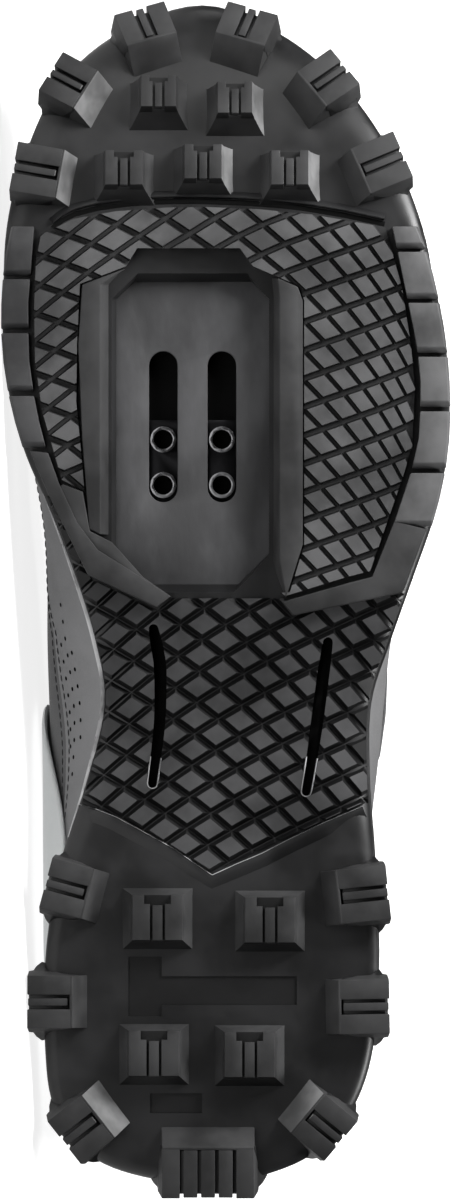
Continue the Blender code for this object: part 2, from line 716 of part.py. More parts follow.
def make_cleat_plate(finish):
    """The stiff plate that shows through the window, with two slots for the cleat's bolts."""
    base = profile(CLEAT_ALONG * SOLE_LENGTH)[1] + GAP
    bm = bmesh.new()
    corners = window_corners(PLATE_MARGIN)
    prism(
        bm,
        [Vector((x, y, base)) for x, y in corners],
        [Vector((x, y, base + PLATE_THICK)) for x, y in corners],
    )
    plate = finished("cleat_plate", bm, finish, smooth=False)
    cut(plate, slot_cutter("slot_helper", base - CUT_THROUGH, base + PLATE_THICK + CUT_THROUGH, finish))
    return plate


def nut_places():
    """Middles of the four threaded barrels in the plan."""
    x, y = CLEAT_ALONG * SOLE_LENGTH - NUT_BEHIND, CLEAT_ACROSS * BALL_WIDTH
    return [(x + a, y + side * SLOT_SPACING / 2) for a in (0, NUT_SPACING) for side in (-1, 1)]


def nut_plate_box(grow):
    """The nut plate's sides in the plan: low x, high x, low y, high y."""
    xs, ys = zip(*nut_places())
    margin = NUT_PLATE_MARGIN + grow
    return min(xs) - margin, max(xs) + margin, min(ys) - margin, max(ys) + margin


def make_nut_plate(finish):
    """The steel plate behind the slots: four barrels for the cleat's bolts reach down into the slots."""
    base = profile(CLEAT_ALONG * SOLE_LENGTH)[1] + GAP + PLATE_THICK + GAP
    x0, x1, y0, y1 = nut_plate_box(0.0)
    bm = bmesh.new()
    plan = ((x0, y0), (x1, y0), (x1, y1), (x0, y1))
    prism(
        bm,
        [Vector((x, y, base)) for x, y in plan],
        [Vector((x, y, base + NUT_PLATE_THICK)) for x, y in plan],
    )
    plate = finished("nut_plate", bm, finish, smooth=False)
    for name, diameter, low, high, operation in (
        ("barrel_helper", NUT_BARREL, base - NUT_BARREL_HEIGHT, base + NUT_PLATE_THICK / 2, "UNION"),
        ("bore_helper", NUT_BORE, base - 2 * NUT_BARREL_HEIGHT, base + 2 * NUT_PLATE_THICK, "DIFFERENCE"),
    ):
        bm = bmesh.new()
        for x, y in nut_places():
            place = Matrix.Translation((x, y, (low + high) / 2))
            bmesh.ops.create_cone(
                bm,
                cap_ends=True,
                segments=16,
                radius1=diameter / 2,
                radius2=diameter / 2,
                depth=high - low,
                matrix=place,
            )
        cut(plate, finished(name, bm, finish, smooth=False), operation)
    return plate


def make_midsole(finish):
    """The foam midsole between outsole and upper, with pockets for the cleat plate and the nut plate."""
    bm = bmesh.new()
    loft(
        bm,
        (
            raised(MIDSOLE_INSET, lambda x: profile(x)[1] + GAP),
            raised(MIDSOLE_INSET / 2, lambda x: profile(x)[1] + (profile(x)[2] - profile(x)[1]) * 0.45),
            raised(MIDSOLE_INSET * 1.8, lambda x: profile(x)[2]),
        ),
    )
    midsole = finished("midsole", bm, finish)
    base = profile(CLEAT_ALONG * SOLE_LENGTH)[1]
    bm = bmesh.new()
    corners = window_corners(PLATE_MARGIN + GAP)
    prism(
        bm,
        [Vector((x, y, base - CUT_THROUGH)) for x, y in corners],
        [Vector((x, y, base + 2 * GAP + PLATE_THICK)) for x, y in corners],
    )
    cut(midsole, finished("plate_pocket_helper", bm, finish, smooth=False))
    x0, x1, y0, y1 = nut_plate_box(2 * GAP)
    bm = bmesh.new()
    plan = ((x0, y0), (x1, y0), (x1, y1), (x0, y1))
    top = base + 3 * GAP + PLATE_THICK + NUT_PLATE_THICK
    prism(bm, [Vector((x, y, base)) for x, y in plan], [Vector((x, y, top)) for x, y in plan])
    cut(midsole, finished("nut_pocket_helper", bm, finish, smooth=False))
    return midsole


def make_insole(finish):
    """The loose footbed that lies inside the upper."""
    inset = UPPER_INSET + UPPER_WALL + 4 * GAP
    bm = bmesh.new()
    loft(
        bm,
        (
            raised(inset + 1.2 * MM, lambda x: profile(x)[2] + GAP),
            raised(inset + 1.0 * MM, lambda x: profile(x)[2] + GAP + INSOLE_THICK),
        ),
    )
    return finished("insole", bm, finish)


def wall_thickness(turn, share):
    """The upper's wall, padded round the ankle towards its rim."""
    row = min(turn % TURN, TURN - turn % TURN)
    rear = min(max((LAST_ROW["waist"] - 0.4 - row) / 1.2, 0.0), 1.0)
    climb = min(max((share - 0.34) / 0.16, 0.0), 1.0)
    below_rim = min(max((rim_share(turn) - share) / 0.06, 0.0), 1.0)
    return UPPER_WALL + COLLAR_PAD * rear * climb * (0.35 + 0.65 * below_rim)


def make_upper(finish):
    """The hollow upper: one wall from the foot to the rim, closed over the forefoot and open at the collar,
    along the throat and underneath."""
    columns = TURN * LAST_STEPS
    closed = LAST_ROW["ball"]
    bm = bmesh.new()
    grids = []
    for layer in (0, 1):
        grid = []
        for column in range(columns):
            turn = column / LAST_STEPS
            rim = rim_share(turn)
            line = []
            for k in range(WALL_ROWS + 1):
                share = rim * k / WALL_ROWS
                lift = -wall_thickness(turn, share) * layer
                line.append(bm.verts.new(skin(turn, share, lift)))
            grid.append(line)
        grids.append(grid)
    outer, inner = grids
    for a in range(columns):
        b = (a + 1) % columns
        for k in range(WALL_ROWS):
            bm.faces.new((outer[a][k], outer[b][k], outer[b][k + 1], outer[a][k + 1]))
            bm.faces.new((inner[a][k + 1], inner[b][k + 1], inner[b][k], inner[a][k]))
        bm.faces.new((outer[a][0], inner[a][0], inner[b][0], outer[b][0]))
        rows = [min(c / LAST_STEPS, TURN - c / LAST_STEPS) for c in (a, a + 1)]
        if min(rows) < closed:
            bm.faces.new((outer[a][-1], outer[b][-1], inner[b][-1], inner[a][-1]))
    return finished("upper", bm, finish)


def sheet_between(name, finish, below, above):
    """A closed solid between two grids of points with the same rows and columns."""
    bm = bmesh.new()
    inner, outer = ([[bm.verts.new(point) for point in line] for line in grid] for grid in (below, above))
    last, width = len(inner) - 1, len(inner[0]) - 1
    for a in range(last):
        for k in range(width):
            bm.faces.new((outer[a][k], outer[a + 1][k], outer[a + 1][k + 1], outer[a][k + 1]))
            bm.faces.new((inner[a][k + 1], inner[a + 1][k + 1], inner[a + 1][k], inner[a][k]))
        for k in (0, width):
            bm.faces.new((outer[a][k], inner[a][k], inner[a + 1][k], outer[a + 1][k]))
    for a in (0, last):
        for k in range(width):
            bm.faces.new((outer[a][k], inner[a][k], inner[a][k + 1], outer[a][k + 1]))
    return finished(name, bm, finish)


def overlay(name, finish, place, columns, rows, wall):
    """An overlay on the upper. place(a, b) gives turn and share for a from 0 to 1 round the foot and b from
    0 to 1 upwards."""
    places = [[place(a / columns, b / rows) for b in range(rows + 1)] for a in range(columns + 1)]
    grids = []
    for lift in (OVERLAY_GAP, OVERLAY_GAP + wall):
        grids.append([[skin(turn, share, lift) for turn, share in line] for line in places])
    return sheet_between(name, finish, *grids)


def make_toe_cap(finish):
    """The bumper round the toe, highest at the tip."""

    def place(a, b):
        near = 1 - abs(2 * a - 1) ** 2
        turn = TURN / 2 + (2 * a - 1) * (TOE_CAP_REACH - 0.35 * b)
        return turn, 0.02 + (0.16 + 0.20 * near) * b

    return overlay("toe_cap", finish, place, 18, 5, TOE_CAP_WALL)


def make_heel_counter(finish):
    """The stiff counter round the heel. Its front edges lean forward, further on the inner side."""

    def place(a, b):
        side = 2 * a - 1
        foot, lean = COUNTER_INNER if side > 0 else COUNTER_OUTER
        turn = side * (foot + lean * math.sin(b * math.pi / 2))
        return turn, 0.02 + (0.50 - 0.09 * min(abs(side) * 1.3, 1.0) ** 2 - 0.02) * b

    return overlay("heel_counter", finish, place, 26, 7, COUNTER_WALL)


def arch(name, finish, rows, ends, low, high, steps):
    """A band that crosses the crest from the inner to the outer side, between two offsets of the last.
    ends(row) gives the shares where it starts on the inner side and stops on the outer side."""
    grids = []
    for lift in (low, high):
        grid = []
        for row in rows:
            inner_end, outer_end = ends(row)
            line = []
            for k in range(-steps, steps + 1):
                near = abs(k) / steps
                end, turn = (inner_end, row) if k < 0 else (outer_end, -row)
                line.append(skin(turn, 1 - (1 - end) * near, lift(near)))
            grid.append(line)
        grids.append(grid)
    return sheet_between(name, finish, *grids)


def make_tongue(finish):
    """The padded tongue under the throat. It stands above the collar and tucks in under the closed vamp."""
    first, last = 4.15, 9.2
    rows = [first + (last - first) * k / 14 for k in range(15)]

    def ends(row):
        spread = 0.30 + 0.10 * min(max((7 - row) / 3, 0.0), 1.0)
        return 1 - spread, 1 - spread

    inside = UPPER_WALL + OVERLAY_GAP + 2 * GAP
    return arch(
        "tongue",
        finish,
        rows,
        ends,
        lambda near: -inside - TONGUE_WALL * (1 - 0.5 * near**2),
        lambda near: -inside,
        5,
    )


def make_strap(strap, finish):
    """A strap that crosses the throat over the upper, fixed on the inner side."""
    step = (last_point(strap.row + 0.25, 1) - last_point(strap.row - 0.25, 1)).length * 2
    half = strap.width / step / 2
    rows = [strap.row + half * (k / 2 - 1) for k in range(5)]

    def ends(row):
        bow = 0.02 * (1 - abs(row - strap.row) / half)
        return strap.inner_end, strap.outer_end - bow

    return arch(
        strap.name,
        finish,
        rows,
        ends,
        lambda near: 2 * GAP,
        lambda near: 2 * GAP + STRAP_WALL,
        9,
    )


def evaluated_points(objects):
    """All corners of the finished solids, and their weighted middle by volume and density."""
    graph = bpy.context.evaluated_depsgraph_get()
    points, mass, moment = [], 0.0, Vector((0, 0, 0))
    for obj, density in objects:
        seen = obj.evaluated_get(graph)
        mesh = seen.to_mesh()
        mesh.calc_loop_triangles()
        corners = [v.co.copy() for v in mesh.vertices]
        points += corners
        for triangle in mesh.loop_triangles:
            a, b, c = (corners[i] for i in triangle.vertices)
            share = a.dot(b.cross(c)) / 6 * density
            mass += share
            moment += (a + b + c) / 4 * share
        seen.to_mesh_clear()
    return points, moment / mass


def lying_matrix(objects):
    """Lays the shoe on its inner side: the face of its convex hull that its weight rests on becomes the
    floor, the toe points to -X and the sole faces -Y."""
    points, middle = evaluated_points(objects)
    bm = bmesh.new()
    for point in points:
        bm.verts.new(point)
    bmesh.ops.convex_hull(bm, input=bm.verts, use_existing_faces=False)
    bmesh.ops.triangulate(bm, faces=bm.faces[:])
    down = None
    for face in bm.faces:
        a, b, c = (v.co.copy() for v in face.verts)
        normal = (b - a).cross(c - a)
        if normal.length < 1e-12:
            continue
        normal.normalize()
        if normal.dot(a - middle) < 0:
            normal.negate()
        if normal.y > -0.9:
            continue
        foot = middle + normal * normal.dot(a - middle)
        turns = [(q - p).cross(foot - p).dot(normal) for p, q in ((a, b), (b, c), (c, a))]
        if min(turns) >= 0 or max(turns) <= 0:
            down = normal
    bm.free()
    up = -down
    towards = -(Vector((1, 0, 0)) - up * up.x).normalized()
    back = up.cross(towards)
    turn = Matrix((towards, back, up)).to_4x4()
    laid = np.array([turn @ p for p in points])
    low, high = laid.min(axis=0), laid.max(axis=0)
    shift = Matrix.Translation((-(low[0] + high[0]) / 2, -(low[1] + high[1]) / 2, -low[2]))
    return shift @ turn


def main():
    for obj in list(bpy.data.objects):
        bpy.data.objects.remove(obj)
    rubber = material("outsole rubber", (0.018, 0.018, 0.019), 0.55)
    foam = material("midsole foam", (0.022, 0.022, 0.024), 0.6)
    nylon = material("cleat plate nylon", (0.07, 0.07, 0.072), 0.7)
    steel = material("nut steel", (0.30, 0.30, 0.31), 0.35, 1.0)
    leather = material("upper leather", (0.060, 0.060, 0.060), 0.65)
    cap = material("toe cap rubber", (0.02, 0.02, 0.02), 0.5)
    grey = material("counter film", (0.55, 0.57, 0.57), 0.35)
    padding = material("tongue fabric", (0.03, 0.03, 0.032), 0.85)
    strap_finish = material("strap fabric", (0.035, 0.035, 0.037), 0.7)
    footbed = material("insole fabric", (0.05, 0.05, 0.055), 0.9)

    pieces = [
        (make_outsole(rubber), 1.15),
        (make_midsole(foam), 0.45),
        (make_cleat_plate(nylon), 1.2),
        (make_nut_plate(steel), 7.8),
        (make_upper(leather), 0.8),
        (make_toe_cap(cap), 1.1),
        (make_heel_counter(grey), 1.1),
        (make_tongue(padding), 0.3),
        (make_insole(footbed), 0.25),
    ]
    pieces += [(make_strap(strap, strap_finish), 0.7) for strap in STRAPS]

    bpy.context.view_layer.update()
    axis = bpy.data.objects.new("shoe_axis", None)
    bpy.context.scene.collection.objects.link(axis)
    axis.matrix_world = lying_matrix(pieces)
    for obj in list(bpy.data.objects):
        if obj is not axis:
            obj.parent = axis


main()
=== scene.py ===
"""Looks of a left cycling shoe with a lugged rubber sole, lying on its inner side.

Every piece is modelled upright in the shoe's own frame, +X to the toe, +Y to the outer side of the foot and
+Z up, with the tips of the lugs on the ground plane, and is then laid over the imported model. Lengths are in
metres, except in the tables of places on the tread and in the sizes of the lugs, which are in millimetres.
"""

import json
import logging
import math
from collections import namedtuple
from dataclasses import dataclass
from enum import Enum
from typing import Callable, Sequence

import bpy
import numpy as np
from mathutils import Matrix, Vector

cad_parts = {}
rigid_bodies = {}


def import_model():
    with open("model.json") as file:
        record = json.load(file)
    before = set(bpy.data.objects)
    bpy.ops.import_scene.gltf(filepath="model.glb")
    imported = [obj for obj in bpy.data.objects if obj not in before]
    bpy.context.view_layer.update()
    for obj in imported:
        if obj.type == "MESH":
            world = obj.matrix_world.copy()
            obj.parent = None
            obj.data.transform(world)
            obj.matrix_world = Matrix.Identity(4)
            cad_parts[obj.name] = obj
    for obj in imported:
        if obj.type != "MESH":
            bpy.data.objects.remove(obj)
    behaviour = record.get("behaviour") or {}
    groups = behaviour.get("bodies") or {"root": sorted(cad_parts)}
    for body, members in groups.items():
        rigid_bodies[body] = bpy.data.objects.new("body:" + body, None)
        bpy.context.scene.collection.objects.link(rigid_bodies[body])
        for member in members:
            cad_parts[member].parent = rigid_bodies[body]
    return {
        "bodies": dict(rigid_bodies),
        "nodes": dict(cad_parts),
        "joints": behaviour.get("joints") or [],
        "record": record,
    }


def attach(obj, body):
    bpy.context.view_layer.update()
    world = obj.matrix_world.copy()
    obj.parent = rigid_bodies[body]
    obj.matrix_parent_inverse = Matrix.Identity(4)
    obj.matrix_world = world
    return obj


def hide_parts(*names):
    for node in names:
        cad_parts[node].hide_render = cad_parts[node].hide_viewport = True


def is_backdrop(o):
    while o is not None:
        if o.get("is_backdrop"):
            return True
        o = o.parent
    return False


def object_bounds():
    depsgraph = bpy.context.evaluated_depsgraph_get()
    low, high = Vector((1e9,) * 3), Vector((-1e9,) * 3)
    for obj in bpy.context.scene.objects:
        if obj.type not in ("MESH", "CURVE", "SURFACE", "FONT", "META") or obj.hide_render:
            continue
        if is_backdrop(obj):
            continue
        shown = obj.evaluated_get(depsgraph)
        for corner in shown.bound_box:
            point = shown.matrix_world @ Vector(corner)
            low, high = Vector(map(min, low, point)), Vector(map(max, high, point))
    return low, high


LOG = logging.getLogger("cycling_shoe")
MM = 0.001
DOUBLES = 0.000002  # points of a solid that lie closer are merged
SEAM_DOUBLES = 0.00001  # the same along the seam of a sheet that closes on itself
BEVEL_ANGLE = 28.0  # edges above this angle in degrees are bevelled
Object = bpy.types.Object
Plan = Sequence[tuple[float, float]]
Point = Vector | np.ndarray


class Side(Enum):
    """The two sides of the foot, as signs of Y in the shoe's frame."""

    INNER = -1
    OUTER = 1


# Outline of the sole: share of the length, then shares of the ball's width to the inner and outer side
OUTLINE = (
    (0.012, 0.000, 0.000), (0.021, 0.171, 0.133), (0.041, 0.280, 0.246), (0.078, 0.346, 0.327),
    (0.127, 0.365, 0.370), (0.198, 0.365, 0.384), (0.255, 0.346, 0.379), (0.301, 0.317, 0.373),
    (0.354, 0.273, 0.363), (0.418, 0.235, 0.366), (0.471, 0.256, 0.410), (0.524, 0.299, 0.460),
    (0.581, 0.355, 0.512), (0.637, 0.417, 0.540), (0.698, 0.455, 0.540), (0.758, 0.462, 0.517),
    (0.818, 0.441, 0.471), (0.882, 0.382, 0.382), (0.935, 0.303, 0.270), (0.974, 0.180, 0.137),
    (0.995, 0.014, -0.014),
)

# Side profile: share of the length, then heights of the tread, of the joint of outsole and midsole and of
# the foot of the upper, as shares of the heel's stack
PROFILE = (
    (0.000, 0.365, 0.620, 1.060), (0.035, 0.270, 0.560, 1.020), (0.090, 0.231, 0.515, 1.000),
    (0.250, 0.231, 0.480, 0.980), (0.310, 0.290, 0.485, 0.955), (0.360, 0.380, 0.550, 0.925),
    (0.415, 0.420, 0.580, 0.875), (0.460, 0.330, 0.480, 0.800), (0.490, 0.240, 0.375, 0.740),
    (0.508, 0.200, 0.345, 0.710), (0.790, 0.200, 0.345, 0.640), (0.835, 0.240, 0.400, 0.670),
    (0.885, 0.358, 0.560, 0.770), (0.930, 0.515, 0.765, 0.905), (0.965, 0.700, 0.960, 1.080),
    (1.000, 0.950, 1.200, 1.320),
)

# Sections of the last from heel to toe. along and crest_along are shares of the sole's length, inner, outer
# and crest_side of the ball's width, belly and crest of the instep's height above the foot of the upper, and
# the wall ends at rim, a share of the way from the widest point to the crest.
Section = namedtuple("Section", "along inner outer belly crest_along crest_side crest rim")
LAST_ROWS = (
    (0.016, 0.000, 0.000, 0.190, 0.170, 0.000, 1.030, 0.41),
    (0.030, 0.180, 0.171, 0.190, 0.184, 0.000, 1.055, 0.40),
    (0.085, 0.312, 0.300, 0.197, 0.212, 0.000, 1.085, 0.35),
    (0.170, 0.352, 0.350, 0.208, 0.255, 0.000, 1.105, 0.27),
    (0.276, 0.358, 0.362, 0.236, 0.312, -0.010, 1.090, 0.36),
    (0.375, 0.360, 0.391, 0.253, 0.375, -0.019, 1.000, 0.58),
    (0.467, 0.367, 0.416, 0.242, 0.457, -0.033, 0.854, 0.66),
    (0.559, 0.369, 0.460, 0.225, 0.538, -0.038, 0.719, 0.73),
    (0.637, 0.402, 0.495, 0.208, 0.616, -0.038, 0.612, 0.81),
    (0.712, 0.427, 0.502, 0.191, 0.683, -0.038, 0.534, 1.00),
    (0.779, 0.427, 0.474, 0.180, 0.744, -0.038, 0.472, 1.00),
    (0.843, 0.389, 0.408, 0.169, 0.800, -0.033, 0.421, 1.00),
    (0.903, 0.318, 0.308, 0.146, 0.850, -0.028, 0.371, 1.00),
    (0.949, 0.194, 0.166, 0.112, 0.882, -0.024, 0.331, 1.00),
    (0.974, 0.014, -0.014, 0.090, 0.892, -0.019, 0.320, 1.00),
)
LAST = tuple(Section(*row) for row in LAST_ROWS)


@dataclass(frozen=True)
class Sizes:
    """Driving sizes of the shoe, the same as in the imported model."""

    length: float = 282.4 * MM
    ball: float = 105.5 * MM
    stack: float = 26.0 * MM
    instep: float = 89.0 * MM
    midsole_inset: float = 0.8 * MM
    upper_inset: float = 3.2 * MM
    lug_height: float = 6.0 * MM
    lug_root: float = 2.4 * MM
    window_length: float = 72.2 * MM
    window_width: float = 36.5 * MM
    cleat_along: float = 0.646
    cleat_across: float = -0.035
    gap: float = 0.3 * MM
    overlay_gap: float = 0.6 * MM
    upper_wall: float = 2.0 * MM
    collar_pad: float = 3.5 * MM
    insole: float = 4.0 * MM
    tongue: float = 4.0 * MM
    plate_thick: float = 2.6 * MM
    slot_spacing: float = 14.0 * MM
    slot_width: float = 6.8 * MM
    slot_length: float = 36.0 * MM
    slot_ahead: float = 19.5 * MM
    nut_behind: float = 12.4 * MM
    nut_spacing: float = 10.9 * MM


SIZE = Sizes()


def monotone(rows: Sequence[Sequence[float]], x: float) -> list[float]:
    """Reads the last columns of a table at x, smoothly and without overshoot.

    Args:
        rows: rows whose first value is the place.
        x: the place to read at.

    Returns:
        The values of the other columns there.
    """
    knots = [row[0] for row in rows]
    x = min(max(x, knots[0]), knots[-1])
    k = min(max(int(np.searchsorted(knots, x)) - 1, 0), len(rows) - 2)
    span = knots[k + 1] - knots[k]
    t = (x - knots[k]) / span
    values = []
    for column in range(1, len(rows[0])):
        slope = [
            (rows[i + 1][column] - rows[i][column]) / (knots[i + 1] - knots[i]) for i in range(len(rows) - 1)
        ]
        ends = []
        for i in (k, k + 1):
            if 0 < i < len(slope):
                a, b = slope[i - 1], slope[i]
                ends.append(2 * a * b / (a + b) if a * b > 0 else 0.0)
            else:
                ends.append(slope[min(i, len(slope) - 1)])
        values.append(
            (2 * t**3 - 3 * t**2 + 1) * rows[k][column]
            + (t**3 - 2 * t**2 + t) * span * ends[0]
            + (-2 * t**3 + 3 * t**2) * rows[k + 1][column]
            + (t**3 - t**2) * span * ends[1]
        )
    return values


def spline(a: Point, b: Point, c: Point, d: Point, t: float | np.ndarray) -> Point:
    """The Catmull-Rom curve from b to c, at a share t of the way."""
    low = a * (-0.5 * t + t * t - 0.5 * t**3) + b * (1 - 2.5 * t * t + 1.5 * t**3)
    return low + c * (0.5 * t + 2 * t * t - 1.5 * t**3) + d * (-0.5 * t * t + 0.5 * t**3)


def through(points: Sequence[Vector], u: float) -> Vector:
    """A point of the closed Catmull-Rom curve through the points, where a whole number is a point.

    Args:
        points: the points of the closed curve.
        u: the place on it.

    Returns:
        The point.
    """
    k = int(math.floor(u))
    return spline(*(points[(k + i - 1) % len(points)] for i in range(4)), u - k)


class SoleForm:
    """The curves of the sole: its outline, its side profile and the surface that the tread stands on."""

    samples = 1200
    steps = 6

    def __init__(self) -> None:
        """Reads the tables once, densely."""
        self.xs = np.linspace(0.0, SIZE.length, self.samples)
        rows = np.array([monotone(PROFILE, x / SIZE.length) for x in self.xs]) * SIZE.stack
        self.columns = rows.T
        inner = [Vector((a * SIZE.length, -i * SIZE.ball, 0)) for a, i, _ in OUTLINE]
        outer = [Vector((a * SIZE.length, o * SIZE.ball, 0)) for a, _, o in OUTLINE[1:-1]]
        self.points = inner + outer[::-1]
        self.edges: dict[float, dict[Side, np.ndarray]] = {}

    def tread(self, x: float) -> float:
        """Height of the tread's surface at x."""
        return float(np.interp(x, self.xs, self.columns[0]))

    def joint(self, x: float) -> float:
        """Height of the joint of outsole and midsole at x."""
        return float(np.interp(x, self.xs, self.columns[1]))

    def foot(self, x: float) -> float:
        """Height of the foot of the upper at x."""
        return float(np.interp(x, self.xs, self.columns[2]))

    def ring(self, inset: Callable[[float], float]) -> list[Vector]:
        """The outline moved inwards.

        Args:
            inset: gives how far, from the place along the sole.

        Returns:
            Points in the plan that pair up across the sole.
        """
        half = len(OUTLINE) - 1
        made = []
        for step in range(2 * half * self.steps):
            u = step / self.steps
            along = through(self.points, u + 0.01) - through(self.points, u - 0.01)
            inwards = Vector((-along.y, along.x, 0)).normalized()
            point = through(self.points, u)
            made.append(point + inwards * inset(point.x))
        return made

    def edge(self, x: float, side: Side, inset: float = 0.0) -> float:
        """The sole's edge at x.

        Args:
            x: the place along the sole.
            side: the side of the foot.
            inset: how far the edge is moved inwards.

        Returns:
            The place across.
        """
        if inset not in self.edges:
            ring = self.ring(lambda _: inset)
            half = len(ring) // 2
            sides = {Side.INNER: ring[: half + 1], Side.OUTER: [ring[0]] + ring[: half - 1 : -1]}
            self.edges[inset] = {
                key: np.array(sorted((p.x, p.y) for p in points)) for key, points in sides.items()
            }
        table = self.edges[inset][side]
        return float(np.interp(x, table[:, 0], table[:, 1]))

    def rounding(self, x: float) -> tuple[float, float]:
        """How wide and how high the lower edge of the sole is rounded off, more so at the waist.

        Args:
            x: the place along the sole.

        Returns:
            The width and the height of the rounding.
        """
        share = x / SIZE.length
        waist = math.exp(-(((share - 0.41) / 0.10) ** 2))
        return (2.6 + 5.4 * waist) * MM, (2.6 + 1.2 * waist) * MM

    def surface(self, x: float, y: float) -> float:
        """Height of the carcass, its rounded edge included.

        Args:
            x: the place along the sole.
            y: the place across.

        Returns:
            The height.
        """
        width, height = self.rounding(x)
        near = min(y - self.edge(x, Side.INNER), self.edge(x, Side.OUTER) - y)
        lack = min(max(1 - near / width, 0.0), 1.0)
        return self.tread(x) + height * (1 - math.sqrt(1 - lack * lack))

    def slope(self, x: float) -> float:
        """Angle of the tread at x, in radians."""
        step = 4 * MM
        return math.atan2(self.tread(x + step) - self.tread(x - step), 2 * step)


SOLE = SoleForm()


class LastForm:
    """The last that the upper is pulled over. A place on it is a turn and a share.

    A turn runs from the heel along the inner side to the toe and back, in rows of LAST. A share runs from
    the foot of the upper, 0, over the widest point to the crest, 1.
    """

    belly_share = 0.3
    crest_round = 0.55
    crest_from = 0.985

    def __init__(self) -> None:
        """Works out the rings of widest points and crest points."""
        rows = len(LAST) - 1
        self.turns = 2 * rows
        belly, crest = [], []
        for turn in range(self.turns):
            section = LAST[turn if turn <= rows else self.turns - turn]
            across = (-section.inner if turn <= rows else section.outer) * SIZE.ball
            x = section.along * SIZE.length
            belly.append((x, across, SOLE.foot(x) + section.belly * SIZE.instep))
            x = section.crest_along * SIZE.length
            crest.append((x, section.crest_side * SIZE.ball, SOLE.foot(x) + section.crest * SIZE.instep))
        self.belly, self.crest = np.array(belly), np.array(crest)
        knots = np.linspace(0, rows, 1 + rows * 20)
        table = [(k, section.rim) for k, section in enumerate(LAST)]
        self.rims = (knots, np.array([monotone(table, k)[0] for k in knots]))

    def row(self, turn: np.ndarray) -> np.ndarray:
        """The row of LAST at a turn, on either side."""
        turn = np.mod(turn, self.turns)
        return np.minimum(turn, self.turns - turn)

    def rim(self, turn: np.ndarray) -> np.ndarray:
        """The share where the upper's wall ends."""
        reach = np.minimum(np.interp(self.row(turn), *self.rims), 1.0)
        return self.belly_share + (1 - self.belly_share) * reach

    @staticmethod
    def curve(points: np.ndarray, u: np.ndarray) -> np.ndarray:
        """Points of the closed Catmull-Rom curve through an array of points.

        Args:
            points: the points of the closed curve.
            u: the places on it, where a whole number is a point.

        Returns:
            One point for each place.
        """
        k = np.floor(u).astype(int)
        return spline(*(points[(k + i - 1) % len(points)] for i in range(4)), (u - k)[..., None])

    def point(self, turn: np.ndarray, share: np.ndarray) -> np.ndarray:
        """Points of the last at these turns and shares.

        Args:
            turn: the turns.
            share: the shares, as many.

        Returns:
            One point for each, in the shoe's frame.
        """
        turn = np.mod(turn, self.turns)
        row = self.row(turn)
        belly = self.curve(self.belly, turn)
        crest = (self.curve(self.crest, row) + self.curve(self.crest, -row)) / 2
        first, last = LAST[0].along * SIZE.length, LAST[-1].along * SIZE.length
        rear = OUTLINE[0][0] * SIZE.length + SIZE.upper_inset
        front = OUTLINE[-1][0] * SIZE.length - SIZE.upper_inset
        x = rear + (belly[..., 0] - first) / (last - first) * (front - rear)
        SOLE.edge(0.0, Side.INNER, SIZE.upper_inset)
        edges = SOLE.edges[SIZE.upper_inset]
        inner = np.interp(x, edges[Side.INNER][:, 0], edges[Side.INNER][:, 1])
        outer = np.interp(x, edges[Side.OUTER][:, 0], edges[Side.OUTER][:, 1])
        y = np.where(turn <= self.turns / 2, inner, outer)
        z = np.interp(x, SOLE.xs, SOLE.columns[2]) + SIZE.overlay_gap
        foot = np.stack((x, y, z), axis=-1)
        t = np.clip(share / self.belly_share, 0, 1)[..., None]
        bulge = np.concatenate((np.repeat(1 - (1 - t) ** 2, 2, axis=-1), t), axis=-1)
        low = foot + (belly - foot) * bulge
        t = np.clip((share - self.belly_share) / (1 - self.belly_share), 0, 1)[..., None]
        way = crest - belly
        shoulder = belly + way * (0, 0, self.crest_round)
        brow = crest - way * (self.crest_round, self.crest_round, 0)
        rest = 1 - t
        high = belly * rest**3 + shoulder * 3 * t * rest**2 + brow * 3 * t * t * rest + crest * t**3
        return np.where((share <= self.belly_share)[..., None], low, high)

    def normal(self, turn: np.ndarray, share: np.ndarray) -> np.ndarray:
        """The outward directions of the last.

        Args:
            turn: the turns.
            share: the shares, as many.

        Returns:
            One unit vector for each.
        """
        low, high = np.maximum(share - 0.01, 0.0), np.minimum(share + 0.01, 1.0)
        along = self.point(turn + 0.04, share) - self.point(turn - 0.04, share)
        up = self.point(turn, high) - self.point(turn, low)
        cross = np.cross(along, up)
        return cross / np.linalg.norm(cross, axis=-1, keepdims=True)

    def skin(self, turn: np.ndarray, share: np.ndarray, lift: np.ndarray | float) -> np.ndarray:
        """Points that stand off the last, outwards.

        Args:
            turn: the turns.
            share: the shares, as many.
            lift: how far the points stand off.

        Returns:
            One point for each.
        """
        turn, share = np.asarray(turn, float), np.asarray(share, float)
        lift = np.broadcast_to(np.asarray(lift, float), share.shape)[..., None]
        single = self.point(turn, share) + self.normal(turn, share) * lift
        row = self.row(turn)
        near = np.full_like(share, self.crest_from)
        both = self.normal(row, near) + self.normal(-row, near)
        both /= np.linalg.norm(both, axis=-1, keepdims=True)
        middle = (self.point(row, share) + self.point(-row, share)) / 2 + both * lift
        return np.where((share > self.crest_from)[..., None], middle, single)

    def wall(self, turn: np.ndarray, share: np.ndarray) -> np.ndarray:
        """The upper's wall thickness, padded round the ankle towards its rim.

        Args:
            turn: the turns.
            share: the shares, as many.

        Returns:
            One thickness for each.
        """
        rear = np.clip((5 - 0.4 - self.row(turn)) / 1.2, 0, 1)
        climb = np.clip((share - 0.34) / 0.16, 0, 1)
        below_rim = np.clip((self.rim(turn) - share) / 0.06, 0, 1)
        return SIZE.upper_wall + SIZE.collar_pad * rear * climb * (0.35 + 0.65 * below_rim)


FOOT = LastForm()


